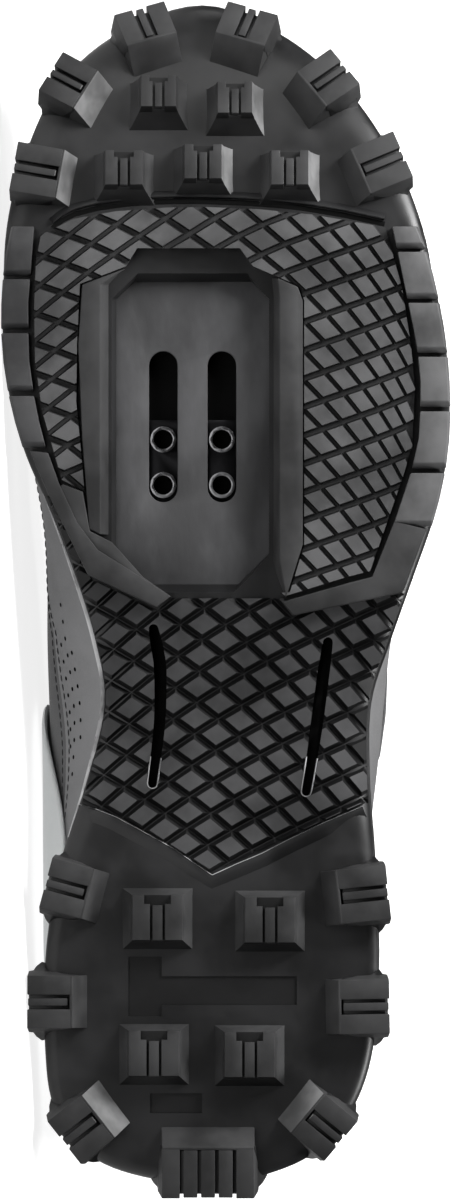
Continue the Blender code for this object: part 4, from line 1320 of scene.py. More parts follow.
@dataclass(frozen=True)
class FieldLug(Lug):
    """A square lug inside the edge, with a notch and two grooves. Sizes are in millimetres."""

    heading = 0.0

    along: float
    across: float
    length: float
    width: float
    front: float = 0.4
    rear: float = 2.8
    sides: float = 2.3
    # Whether its outer-side slope gets the lighter rubber of a painted highlight.
    painted_lit_slopes: bool = False
    sink: float = 1.5
    groove: float = 0.62

    def build(self) -> list[Object]:
        """The lug's foot, its two side bars and the rib between them.

        Returns:
            The closed pieces.
        """
        patch = self.patch()
        tip, floor = patch.tip, self.sink * MM
        length, width = self.length / 2 * MM, self.width / 2 * MM
        notch, rib = 0.27 * self.width * MM, 0.10 * self.width * MM
        deep, inner = 0.19 * self.length * MM, rib + self.groove * MM

        def square(grow: float, down: float) -> list[Vector]:
            """The lug's outline at a depth, grown by a share of its slopes."""
            front, rear = length + grow * self.front * MM, -length - grow * self.rear * MM
            across = width + grow * self.sides * MM
            plan = ((rear, -across), (front, -across), (front, across), (rear, across))
            return [patch.at(a, b, down) for a, b in plan]

        def level(plan: Plan, down: float) -> list[Vector]:
            """An outline at a depth."""
            return [patch.at(a, b, down) for a, b in plan]

        low = tip - 2 * floor
        rings = ((1.5, -0.8 * MM), (1.0, 0.3 * MM), (0.12, tip - floor), (0.04, tip - floor))
        made = [Bench.stack("foot", [square(grow, down) for grow, down in rings])]
        for side in (-1, 1):
            near, far = side * inner, length - deep
            outer = ((-length, side * width), (length, side * width), (length, side * notch))
            plan = (*outer, (far, side * notch), (far, near), (-length, near))
            root = []
            for k, (a, b) in enumerate(plan):
                out = 0.35 * (self.front if a > 0 else -self.rear) * MM if k in (0, 1, 2, 5) else 0.0
                across = side * 0.35 * self.sides * MM if k in (0, 1) else 0.0
                root.append(patch.at(a + out, b + across, low))
            made.append(Bench.stack("bar", (root, level(plan, tip))))
        end = length - deep - 0.3 * MM
        plan = ((-length, -rib), (end, -rib), (end, rib), (-length, rib))
        made.append(Bench.stack("rib", (level(plan, low), level(plan, tip - 0.15 * MM))))
        return made


# Each row: along, across, length and width, then the slopes of the front, the rear and the sides
FIELD_LUGS = (
    FieldLug(0.9275, -0.112, 8.0, 8.2),
    FieldLug(0.9225, 0.061, 8.0, 8.2, painted_lit_slopes=True),
    FieldLug(0.865, -0.190, 8.4, 8.8),
    FieldLug(0.870, -0.011, 8.4, 8.8, painted_lit_slopes=True),
    FieldLug(0.865, 0.185, 8.4, 8.8, painted_lit_slopes=True),
    FieldLug(0.237, -0.114, 10.6, 11.8, 1.4, 2.0, 2.1),
    FieldLug(0.235, 0.140, 10.6, 11.8, 1.4, 2.0, 2.1),
    FieldLug(0.1225, -0.122, 10.6, 11.8, 1.4, 2.0, 2.1),
    FieldLug(0.1215, 0.094, 10.6, 11.8, 1.4, 2.0, 2.1),
)


@dataclass(frozen=True)
class Lattice:
    """A diamond pattern that bends with the sole. Lengths in millimetres; rows count towards the heel."""

    middle: tuple[float, float]
    step: float
    narrowing: float
    row: float
    row_outer: float
    bow: float
    drift_inner: float
    drift_outer: float
    squeeze: float
    top: float
    floor: float
    height: float
    depth: float

    def place(self, c: float, r: float) -> tuple[float, float]:
        """Where a cell's middle or corner lies in the plan.

        Args:
            c: its column, counted from the middle to the outer side.
            r: its row.

        Returns:
            The place along and across, in metres.
        """
        x0, y0 = self.middle
        away = min(abs(c) / 4, 1.0)
        row = self.row + (self.row_outer - self.row) * away
        drift = self.drift_inner if c < 0 else self.drift_outer
        sag = self.bow * (math.sqrt(c * c + 36) - 6)
        y = y0 + self.step * c - self.narrowing * c * abs(c) - self.squeeze * max(c, 0.0) ** 3 + drift * r
        return (x0 - sag - row * r) * MM, y * MM

    def cells(self, name: str, columns: range, rows: range) -> Object:
        """All cells of the pattern as one mesh. Every second place of the grid holds one.

        Args:
            name: the object's name.
            columns: the columns that hold cells.
            rows: the rows that hold cells.

        Returns:
            The mesh object, whose Z is minus the height above the carcass.
        """
        points: list[tuple[float, float, float]] = []
        faces: list[tuple[int, ...]] = []
        levels = (
            (self.floor, -(self.height - self.depth) + 0.4 * MM),
            (self.floor, -(self.height - self.depth)),
            (self.top + 0.03, -self.height + 0.12 * MM),
            (self.top, -self.height),
        )
        for c in columns:
            for r in rows:
                if (c + r) % 2:
                    continue
                base = len(points)
                for share, z in levels:
                    for dc, dr in ((1, 0), (0, 1), (-1, 0), (0, -1)):
                        x, y = self.place(c + dc * share, r + dr * share)
                        points.append((x, y, z))
                faces.append((base, base + 1, base + 2, base + 3))
                for level in range(len(levels) - 1):
                    for k in range(4):
                        j = (k + 1) % 4
                        a, b = base + 4 * level, base + 4 * level + 4
                        faces.append((a + k, b + k, b + j, a + j))
                top = base + 4 * (len(levels) - 1)
                faces.append((top + 3, top + 2, top + 1, top))
        return Bench.outwards(Bench.from_arrays(name, points, faces))


FOREFOOT_LATTICE = Lattice(
    middle=(233.7, -4.3), step=5.86, narrowing=0.015, row=3.93, row_outer=3.42, bow=2.38, drift_inner=-0.40,
    drift_outer=-0.12, squeeze=0.0075, top=0.73, floor=0.86, height=4.3 * MM, depth=1.8 * MM,
)
WAIST_LATTICE = Lattice(
    middle=(136.9, -1.2), step=5.42, narrowing=0.045, row=3.75, row_outer=3.75, bow=1.9, drift_inner=-0.30,
    drift_outer=-0.30, squeeze=0.0, top=0.66, floor=0.955, height=1.5 * MM, depth=1.35 * MM,
)

# Plans in millimetres along and across the sole
FOREFOOT_FIELD = (
    (168.6, -29.5), (171.2, -34.8), (187.6, -39.5), (199.5, -41.2), (212.4, -41.4), (223.1, -41.0),
    (229.6, -39.8), (233.4, -32.0), (235.2, -22.0), (236.1, -10.0), (236.2, 0.0), (235.7, 12.0),
    (234.4, 25.0), (231.4, 42.2), (217.1, 46.2), (203.6, 48.3), (193.1, 49.3), (179.3, 48.6),
    (171.9, 46.4), (162.4, 43.1), (149.5, 38.6), (148.1, 33.1), (143.6, 18.6), (150.0, 5.0),
    (160.0, -20.0),
)
WINDOW_FRAME = (
    (159.0, -28.6), (180.7, -30.5), (189.8, -31.4), (203.6, -31.2), (217.9, -30.5), (222.1, -19.5),
    (226.4, -16.9), (226.4, 7.6), (222.1, 10.7), (217.4, 21.7), (214.0, 22.9), (155.7, 22.9),
    (144.5, 19.5), (143.6, 8.0), (143.6, -8.0),
)
WAIST_FIELD = (
    (168.9, -40.6), (94.0, -32.0), (94.0, -29.5), (91.2, -21.9), (84.0, -8.3), (77.9, 1.2), (86.4, 19.3),
    (94.0, 36.4), (94.5, 42.0), (143.3, 49.5), (144.3, 46.2), (139.0, 20.0), (143.0, 18.0), (143.0, -8.6),
    (140.0, -12.1), (147.4, -27.8), (166.9, -37.8),
)
INNER_SLIT = ((135.7, -13.0), (131.0, -12.1), (125.7, -11.4), (113.0, -11.6), (98.8, -13.3))
OUTER_SLIT = ((132.6, 28.6), (124.0, 27.4), (114.8, 26.2), (105.0, 24.8), (96.9, 23.4))
# Widths of a slit in millimetres at shares of its length from the toe's end, and where the thin light line
# painted as a highlight round its rear end stops
SLIT_WIDTHS = ((0, 0.2, 0.5, 0.75, 1), (2.3, 2.9, 3.0, 2.7, 2.5))
SLIT_HIGHLIGHT_END = 106
INNER_BAND = (
    (178.3, -42.6), (168.1, -38.3), (148.3, -28.6), (140.7, -12.1), (143.3, -8.6), (148.3, -16.4),
    (154.3, -26.2), (161.2, -31.4), (170.5, -35.6), (177.9, -38.2),
)
INNER_WEB = (
    (143.3, -8.6), (148.0, -15.4), (156.4, -22.9), (159.0, -28.1), (168.4, -29.8), (170.2, -34.6),
    (169.0, -36.4), (160.2, -32.4), (153.3, -27.2), (147.3, -17.4),
)
OUTER_BAND = (
    (159.6, 52.3), (145.0, 46.8), (144.1, 45.9), (138.8, 20.0), (142.1, 17.4), (146.6, 33.3),
    (148.1, 39.4), (161.6, 44.5),
)
INNER_RAIL = (
    (159.3, -28.3), (180.7, -30.0), (203.6, -31.0), (217.9, -30.0), (221.7, -19.5), (217.9, -22.9),
    (158.0, -22.9),
)
INNER_RAIL_TOP = (
    (159.3, -28.3), (180.7, -30.0), (203.6, -31.0), (217.9, -30.0), (221.7, -19.8), (217.9, -25.6),
    (158.0, -25.6),
)
OUTER_RAIL = (
    (143.0, 18.4), (155.7, 22.6), (214.0, 22.6), (217.4, 21.4), (219.5, 14.6), (215.0, 15.0),
    (152.0, 15.0),
)
OUTER_RAIL_TOP = (
    (143.0, 18.6), (155.7, 22.6), (214.0, 22.6), (217.4, 21.4), (219.5, 16.6), (215.0, 17.0),
    (152.0, 17.0),
)

FRONT_LIP = (
    (232.6, -37.1), (234.5, -34.8), (236.0, -31.7), (237.4, -26.2), (238.3, -19.8), (238.8, -13.6),
    (239.0, -7.6), (239.0, -1.4), (238.6, 8.8), (238.1, 16.0), (237.4, 22.4), (235.7, 32.6),
    (233.6, 42.1),
)
REAR_LIP = (
    (93.6, -31.2), (92.4, -26.7), (90.5, -21.9), (86.9, -15.2), (83.1, -8.3), (79.8, -3.6), (76.7, 1.0),
    (79.3, 6.7), (81.9, 12.9), (85.2, 19.3), (89.3, 27.9), (93.1, 36.9),
)
WIDE_RECESS = (
    (57.6, -19.0), (57.6, -11.0), (52.9, -11.0), (52.9, 21.2), (46.0, 21.2), (46.0, -11.0), (43.3, -11.0),
    (43.3, -19.0),
)
SMALL_RECESS = (
    (25.0, -13.8), (25.0, -1.4), (20.2, -1.4), (20.2, -13.8),
)


def loft(name: str, rings: Sequence[Sequence[Vector]], columns: int) -> Object:
    """A closed solid through rings of the sole, whose ends are closed by rungs across.

    Args:
        name: the object's name.
        rings: rings of points that pair up across the sole.
        columns: faces along each rung.

    Returns:
        The new object.
    """
    count, half = len(rings[0]), len(rings[0]) // 2
    points = [tuple(p) for ring in rings for p in ring]
    faces: list[tuple[int, ...]] = []
    for level in range(len(rings) - 1):
        for i in range(count):
            j = (i + 1) % count
            a, b = level * count, (level + 1) * count
            faces.append((a + i, b + i, b + j, a + j))
    for level in (0, len(rings) - 1):
        base = level * count
        lines = []
        for i in range(1, half):
            a, b = Vector(points[base + i]), Vector(points[base + count - i])
            line = [base + i]
            for k in range(1, columns):
                line.append(len(points))
                points.append(tuple(a.lerp(b, k / columns)))
            lines.append(line + [base + count - i])
        for low, high in zip(lines, lines[1:]):
            faces += [(low[k], high[k], high[k + 1], low[k + 1]) for k in range(columns)]
        for end, line in ((base, lines[0]), (base + half, lines[-1])):
            faces += [(end, line[k], line[k + 1]) for k in range(columns)]
    return Bench.outwards(Bench.from_arrays(name, points, faces))


# Edge blocks of each side: their rear and front ends as shares of the length, then the line of their inner
# edge in millimetres
EDGE_BLOCKS = {
    Side.INNER: (
        ((0.6335, 0.677), (0.681, 0.730), (0.7335, 0.7755), (0.7785, 0.820)),
        ((178.0, -38.4), (188.0, -41.0), (199.5, -42.6), (212.4, -42.9), (231.5, -41.4)),
    ),
    Side.OUTER: (
        ((0.567, 0.612), (0.616, 0.664), (0.668, 0.710), (0.7135, 0.7555), (0.759, 0.7985), (0.8015, 0.820)),
        ((160.0, 44.0), (171.9, 48.0), (179.3, 50.1), (193.1, 50.8), (203.6, 49.7), (231.6, 43.9)),
    ),
}


@dataclass(frozen=True)
class Outsole:
    """The rubber sole: carcass, lugs, edge blocks, bands, rails, lips and the two diamond fields."""

    shoe: Shoe
    rim_rows: int = 7
    wall_rows: int = 3
    across_columns: int = 16
    recess_depth: float = 0.5 * MM
    slit_depth: float = 3.4 * MM
    band_height: float = 4.9 * MM
    rail_height: float = 4.5 * MM

    @staticmethod
    def window_corners(grow: float) -> list[tuple[float, float]]:
        """The cleat window's eight corners in the plan: rear, inner side, front, outer side.

        Args:
            grow: how far the window is widened on every side.

        Returns:
            The corners.
        """
        x, y = SIZE.cleat_along * SIZE.length, SIZE.cleat_across * SIZE.ball
        length, width = SIZE.window_length / 2 + grow, SIZE.window_width / 2 + grow
        rear, front = 7.4 * MM, 4.2 * MM
        half = ((-length, rear - width), (rear - length, -width), (length - front, -width))
        half += ((length, front - width),)
        return [(x + a, y + b) for a, b in half] + [(x + a, y - b) for a, b in reversed(half)]

    def window_cutter(self) -> Object:
        """The opening over the cleat plate, whose end walls slope outwards.

        Returns:
            The cutter.
        """
        x, y = SIZE.cleat_along * SIZE.length, SIZE.cleat_across * SIZE.ball
        joint, tread = SOLE.joint(x), SOLE.tread(x)
        low, high = self.window_corners(0.0), []
        for k, (a, b) in enumerate(low):
            if k in (0, 3, 4, 7):
                a += math.copysign(5.0 * MM, a - x)
                b += math.copysign(2.5 * MM, y - b)
            if k in (1, 2):
                b -= 2.7 * MM
            high.append((a, b))
        levels = ((low, joint + 3 * MM), (low, joint), (high, tread - SIZE.lug_height))
        return Bench.outwards(Bench.stack("window", [[(a, b, z) for a, b in plan] for plan, z in levels]))

    @staticmethod
    def swell(x: float) -> float:
        """How far the carcass stands out round the toe, so that its lugs overhang it less."""
        return float(np.interp(x / SIZE.length, (0.78, 0.85, 0.93, 1.0), (0.4, 2.6, 4.0, 4.2))) * MM

    def body(self) -> None:
        """The carcass with its rounded edge, its side wall, the window, the slits and the two recesses."""
        rings: list[list[Vector]] = []
        for k in range(self.rim_rows + 1):
            angle = math.pi / 2 * k / self.rim_rows
            ring = SOLE.ring(lambda x, s=math.sin(angle): SOLE.rounding(x)[0] * (1 - s) - self.swell(x) * s)
            for p in ring:
                p.z = SOLE.tread(p.x) + SOLE.rounding(p.x)[1] * (1 - math.cos(angle))
            rings.append(ring)
        for k in range(1, self.wall_rows + 1):
            t = k / self.wall_rows
            ring = SOLE.ring(lambda x, t=t: SIZE.midsole_inset / 2 * t - self.swell(x) * (1 - t * t))
            for p in ring:
                low = SOLE.tread(p.x) + SOLE.rounding(p.x)[1]
                p.z = low + (SOLE.joint(p.x) - low) * t
            rings.append(ring)
        body = loft("outsole_body", rings, self.across_columns)
        Bench.boolean(body, self.window_cutter())
        Bench.boolean(body, self.slits("slits"))
        for plan in (WIDE_RECESS, SMALL_RECESS):
            Bench.boolean(body, self.prism("recess", plan, self.recess_depth, 2.0 * MM))

        def rule(face: bpy.types.MeshPolygon) -> int:
            """The slits' walls and floors, then the recesses' floors, all painted dark as shade."""
            x, y, z = face.center
            floor = SOLE.tread(x) + 0.4 * MM
            inside = 20 * MM < x < 58 * MM and abs(z - floor - 0.1 * MM) < 0.09 * MM
            beside = -16 * MM < y < -9 * MM or 20 * MM < y < 31 * MM
            slit = 94 * MM < x < 138 * MM and beside and z > SOLE.tread(x) + 1.2 * MM
            return 1 if slit else 2 if inside and face.normal.z < -0.9 else 0

        # Slits painted near-black and recess floors darker than the carcass: painted shade.
        CARCASS_RUBBER.dress(Bench.smooth(body, 35), PAINTED_HOLE_SHADE, PAINTED_SHADE_RUBBER, rule=rule)
        self.shoe.lay(body, "outsole", "outsole")

    @staticmethod
    def slit_plans() -> list[list[Vector]]:
        """The outlines of the two curved slits in the waist, with rounded ends.

        Returns:
            One closed outline for each slit.
        """
        plans = []
        for line in (INNER_SLIT, OUTER_SLIT):
            knots = [Vector((x, y, 0)) * MM for x, y in line]
            points = [knots[0]]
            for k in range(len(knots) - 1):
                for t in (0.25, 0.5, 0.75, 1.0):
                    a, d = knots[max(k - 1, 0)], knots[min(k + 2, len(knots) - 1)]
                    b, c = knots[k], knots[k + 1]
                    bend = (c - a) * (t - 2 * t * t + t**3) / 2 + (d - b) * (t**3 - t * t) / 2
                    points.append(b * (2 * t**3 - 3 * t * t + 1) + c * (3 * t * t - 2 * t**3) + bend)
            left, right, ends = [], [], []
            for k, point in enumerate(points):
                t = k / (len(points) - 1)
                width = float(np.interp(t, *SLIT_WIDTHS)) * MM
                a, b = points[max(k - 1, 0)], points[min(k + 1, len(points) - 1)]
                along = (b - a).normalized()
                across = Vector((-along.y, along.x, 0)) * width / 2
                left.append(point + across)
                right.append(point - across)
                if k in (0, len(points) - 1):
                    way = along * (-width / 2 if k == 0 else width / 2)
                    turns = [math.pi * (0.5 - j / 6) for j in range(1, 6)]
                    ends.append([point + across * math.sin(t) + way * math.cos(t) for t in turns])
            plans.append(left[::-1] + ends[0] + right + ends[1][::-1])
        return plans

    def slits(self, name: str) -> Object:
        """The two slits as one cutter.

        Args:
            name: the cutter's name.

        Returns:
            The cutter.
        """
        made = []
        for plan in self.slit_plans():
            rings = [[(p.x, p.y, SOLE.tread(p.x) + z) for p in plan] for z in (-4.0 * MM, self.slit_depth)]
            made.append(Bench.stack("slit", rings))
        return Bench.join(name, made)

    def lugs(self) -> None:
        """The lugs round the edge, the square lugs inside it, and the webs at the feet of the former."""
        for name, table in (("outsole_edge_lugs", EDGE_LUGS), ("outsole_field_lugs", FIELD_LUGS)):
            obj = Bench.outwards(Bench.join(name, [part for lug in table for part in lug.build()]))
            Bench.smooth(Bench.bevel(obj, 0.22 * MM))
            # Lighter slopes facing the lamps are a painted highlight; dark rear slopes and grooves are
            # painted shade.
            LUG_RUBBER.dress(obj, PAINTED_LIT_SLOPE_RUBBER, PAINTED_SHADE_RUBBER, rule=self.lug_rule(table))
            self.shoe.lay(obj, "outsole", "outsole")
        feet = Bench.outwards(Bench.join("outsole_lug_feet", [lug.foot() for lug in EDGE_LUGS]))
        CARCASS_RUBBER.dress(Bench.smooth(Bench.bevel(feet, 0.3 * MM), 75))
        self.shoe.lay(feet, "outsole", "outsole")

    @staticmethod
    def lug_rule(table: Sequence[EdgeLug | FieldLug]) -> Callable:
        """Paints light on the lugs: a highlight on slopes facing the lamps, shade on rear slopes and grooves.

        Args:
            table: the lugs.

        Returns:
            The rule that gives a face's finish.
        """
        patches = [(lug, lug.patch()) for lug in table]

        def rule(face: bpy.types.MeshPolygon) -> int:
            """Slope with a painted highlight 1, rear slope or groove with painted shade 2, all else 0."""
            lug, patch = min(patches, key=lambda entry: (entry[1].origin - face.center).length)
            edge, way = isinstance(lug, EdgeLug), face.center - patch.origin
            out, side, down = (face.normal.dot(axis) for axis in (patch.out, patch.side, patch.down))
            beside = abs(way.dot(patch.side))
            within = abs(way.dot(patch.out)) < lug.length / 2 * MM and beside < lug.width / 2 * MM
            sunk = patch.tip - way.dot(patch.down) > 0.7 * MM and beside < 0.38 * lug.width * MM
            if lug.painted_lit_slopes and down > 0.2 and (out if edge else side) < -0.35:
                return 1
            if not edge and out < -0.3 and down > 0.2:
                return 2
            return 2 if within and sunk and (down > 0.85 or abs(side) > 0.8) else 0

        return rule

    @staticmethod
    def prism(
        name: str, plan: Plan, low: float, high: float, slope: float = 0.0, top: Plan | None = None
    ) -> Object:
        """A raised form over a plan in millimetres, that follows the tread.

        Args:
            name: the object's name.
            plan: the corners in millimetres.
            low: how far its root lies above the carcass, in metres.
            high: how far its top stands below the carcass, in metres.
            slope: how far the wall leans in towards the top, in metres.
            top: the corners of the top, if they differ.

        Returns:
            The solid.
        """
        plans = [[Vector((x, y, 0)) * MM for x, y in corners] for corners in (plan, top or plan)]
        middle = sum(plans[0], Vector()) / len(plan)
        rings = []
        for corners, down, lean in ((plans[0], -low, 0.0), (plans[1], high, slope)):
            leant = [(p, p + (middle - p).normalized() * lean) for p in corners]
            rings.append([(q.x, q.y, SOLE.tread(p.x) - down) for p, q in leant])
        return Bench.outwards(Bench.stack(name, rings))

    def blocks(self) -> None:
        """The blocks of the forefoot's edge bands, each with a slope at its rear end."""
        made = []
        for side, (spans, line) in EDGE_BLOCKS.items():
            for rear, front in spans:
                layers = []
                for down, shrink in ((-SIZE.lug_root, 0.0), (3.2 * MM, 0.0), (5.15 * MM, 1.3 * MM)):
                    places = [rear * SIZE.length + shrink]
                    places += [places[0] + (front * SIZE.length - places[0]) * t for t in (0.5, 1.0)]
                    inner, outer = [], []
                    for x in places:
                        near = np.interp(x / MM, [p[0] for p in line], [p[1] for p in line]) * MM
                        far = SOLE.edge(x, side, shrink * 0.35 - 0.5 * MM)
                        inner.append((x, near, SOLE.tread(x) - down))
                        outer.append((x, far, SOLE.tread(x) - down))
                    layers.append(inner + outer[::-1])
                made.append(Bench.stack("block", layers))
        obj = Bench.outwards(Bench.join("outsole_edge_blocks", made))
        Bench.smooth(Bench.bevel(obj, 0.3 * MM))
        # The blocks on the outer side get the lighter copy: a painted sheen, where more light falls.
        BLOCK_RUBBER.dress(obj, PAINTED_SHEEN_RUBBER, rule=lambda face: int(face.center.y > 0))
        self.shoe.lay(obj, "outsole", "outsole")

    def bands(self) -> None:
        """The two flat bands that end the forefoot, and the rails beside the window."""
        high, rail = self.band_height, self.rail_height
        made = [
            self.prism("inner band", INNER_BAND, SIZE.lug_root, high, 0.3 * MM),
            self.prism("inner web", INNER_WEB, SIZE.lug_root, rail),
            self.prism("outer band", OUTER_BAND, SIZE.lug_root, high, 0.3 * MM),
            self.prism("inner rail", INNER_RAIL, 2.0 * MM, rail, 0.2 * MM, INNER_RAIL_TOP),
            self.prism("outer rail", OUTER_RAIL, 2.0 * MM, rail, 0.2 * MM, OUTER_RAIL_TOP),
        ]
        obj = Bench.smooth(Bench.bevel(Bench.join("outsole_bands", made), 0.3 * MM))
        self.shoe.lay(LUG_RUBBER.dress(obj), "outsole", "outsole")

    def lips(self) -> None:
        """The raised lips in front of the forefoot field and behind the waist field, and thin lines.

        The channel inside the front lip is a thin strip painted black: painted shade. Painted highlights,
        thin light lines, run along the arch, the rear lip and the rear ends of the slits.
        """
        front = self.ridge(FRONT_LIP, 0.5 * MM, -1.5 * MM, 1.2 * MM, 0.0)
        rear = self.ridge(REAR_LIP, 0.6 * MM, 3.6 * MM, 0.9 * MM, 0.0)
        obj = Bench.smooth(Bench.join("outsole_lips", [front, rear]), 50)
        self.shoe.lay(CARCASS_RUBBER.dress(obj), "outsole", "outsole")
        inner, reach = [(x - 1.35, y) for x, y in FRONT_LIP], 0.85 * MM
        # A thin strip painted black stands for the shade down in the channel.
        channel = self.ridge(inner, reach, reach, 0.14 * MM, 0.1 * MM)
        channel.name = "outsole_channel"
        self.shoe.lay(PAINTED_HOLE_SHADE.dress(channel), "outsole", "outsole")
        # Thin light lines painted as highlights: along the arch, the rear lip and the slits' rear ends.
        line = [(x + 0.3, y) for x, y in REAR_LIP]
        made = [self.arch_line(), self.ridge(line, 0.12 * MM, 0.16 * MM, 1.0 * MM, 0.6 * MM)]
        for plan in self.slit_plans():
            far = next(k for k, p in enumerate(plan) if p.x > SLIT_HIGHLIGHT_END * MM)
            rear = [(p.x / MM, p.y / MM) for p in plan[far:] + plan[:far] if p.x < SLIT_HIGHLIGHT_END * MM]
            made.append(self.ridge(rear, 0.14 * MM, 0.2 * MM, 1.62 * MM, 1.3 * MM))
        obj = Bench.smooth(Bench.join("outsole_bright_edges", made), 60)
        self.shoe.lay(PAINTED_HIGHLIGHT_LINE.dress(obj), "outsole", "outsole")

    @staticmethod
    def arch_line() -> Object:
        """A painted highlight, a thin light line along the inner edge of the waist, thinner at its ends.

        Returns:
            The closed line.
        """
        points, sides, thick = [], 6, 0.62 * MM
        places = np.linspace(86 * MM, 168 * MM, 42)
        for k, x in enumerate(places):
            y, z = SOLE.edge(x, Side.INNER, -0.2 * MM), SOLE.tread(x) + 0.75 * SOLE.rounding(x)[1]
            radius = thick * min(1.0, 0.25 + 3 * min(k, len(places) - 1 - k) / len(places))
            for j in range(sides):
                angle = 2 * math.pi * j / sides
                points.append((x, y + radius * math.cos(angle), z + radius * math.sin(angle)))
        return Bench.tube("arch line", points, sides)

    @staticmethod
    def ridge(line: Plan, near: float, far: float, high: float, base: float) -> Object:
        """A ridge along a line in millimetres, steep on one side and sloping on the other.

        Args:
            line: the places that its crest runs through.
            near: how far its steep side reaches, to the left of the line's way for a positive far.
            far: how far its slope reaches, to the right where positive.
            high: how far its crest stands out of the tread.
            base: how far its foot does.

        Returns:
            The closed ridge.
        """
        points = [Vector((x, y, 0)) * MM for x, y in line]
        side, root = math.copysign(1, far), base - 0.3 * MM
        steep = ((-side * near, root), (-side * near * 0.5, high * 0.9), (0.0, high))
        section = (*steep, (far * 0.35, high * 0.72), (far * 0.7, high * 0.22), (far, root))
        corners = []
        for k, point in enumerate(points):
            along = (points[min(k + 1, len(points) - 1)] - points[max(k - 1, 0)]).normalized()
            across = Vector((-along.y, along.x, 0))
            for share, out in section:
                p = point + across * share
                corners.append((p.x, p.y, SOLE.surface(p.x, p.y) - out))
        return Bench.tube("lip", corners, len(section))

    def fields(self) -> None:
        """The two fields of diamonds, cut to their outlines."""
        name = "outsole_forefoot_field"
        cells = FOREFOOT_LATTICE.cells(name, range(-9, 12), range(-2, 26))
        Bench.boolean(cells, self.flat_prism(FOREFOOT_FIELD, -6 * MM, 2 * MM), "INTERSECT")
        Bench.boolean(cells, self.flat_prism(WINDOW_FRAME, -7 * MM, 3 * MM))
        slab = self.flat_prism(FOREFOOT_FIELD, -2.62 * MM, 1.0 * MM)
        Bench.boolean(slab, self.flat_prism(WINDOW_FRAME, -7 * MM, 3 * MM))
        field = Bench.join(name, [cells, slab])
        Bench.move_points(field, lambda p: Vector((p.x, p.y, SOLE.tread(p.x) + p.z)))

        def forefoot(face: bpy.types.MeshPolygon) -> int:
            """Tops 0; sides facing away from the lamps 1; floor and lit sides 2: both painted shade."""
            raised = SOLE.tread(face.center.x) - face.center.z > 3.6 * MM
            return 0 if raised and self.is_top(face) else 1 if face.normal.y < -0.3 else 2

        # Painted shade: the floor and lit sides darker than the tops, the sides facing away from the lamps
        # near-black.
        self.lay_field(field, FIELD_RUBBER, (PAINTED_SHADE_RUBBER, GROOVE_FLOOR_SHADE), forefoot)
        cells = WAIST_LATTICE.cells("outsole_waist_field", range(-9, 12), range(-10, 18))
        Bench.boolean(cells, self.flat_prism(WAIST_FIELD, -5 * MM, 3 * MM), "INTERSECT")
        inside = [(p.x / MM, p.y / MM) for p in SOLE.ring(lambda _: 0.35 * MM)]
        Bench.boolean(cells, self.flat_prism(inside, -6 * MM, 4 * MM), "INTERSECT")
        Bench.move_points(cells, lambda p: Vector((p.x, p.y, SOLE.surface(p.x, p.y) + p.z)))
        Bench.boolean(cells, self.slits("waist slits"))
        # The waist cells' sides are painted near-black: painted shade in the V grooves.
        self.lay_field(cells, BLOCK_RUBBER, (WAIST_PAINTED_SHADE,), lambda face: int(not self.is_top(face)))

    @staticmethod
    def flat_prism(plan: Plan, low: float, high: float) -> Object:
        """A straight prism over a plan in millimetres, between two heights."""
        rings = [[(x * MM, y * MM, z) for x, y in plan] for z in (low, high)]
        return Bench.outwards(Bench.stack("outline", rings))

    @staticmethod
    def is_top(face: bpy.types.MeshPolygon) -> bool:
        """Whether a face looks out of the tread."""
        slope = SOLE.slope(face.center.x)
        return face.normal.dot(Vector((math.sin(slope), 0, -math.cos(slope)))) > 0.85

    def lay_field(self, field: Object, finish: Finish, others: Sequence[Finish], rule: Callable) -> None:
        """Shades, dresses and lays a field.

        Args:
            field: the field's cells.
            finish: the finish of their tops.
            others: further finishes.
            rule: gives a face's finish.
        """
        Bench.smooth(Bench.outwards(field), 20)
        self.shoe.lay(finish.dress(field, *others, rule=rule), "outsole", "outsole")

    def build(self) -> None:
        """All pieces of the outsole."""
        for make in (self.body, self.lugs, self.blocks, self.bands, self.lips, self.fields):
            make()


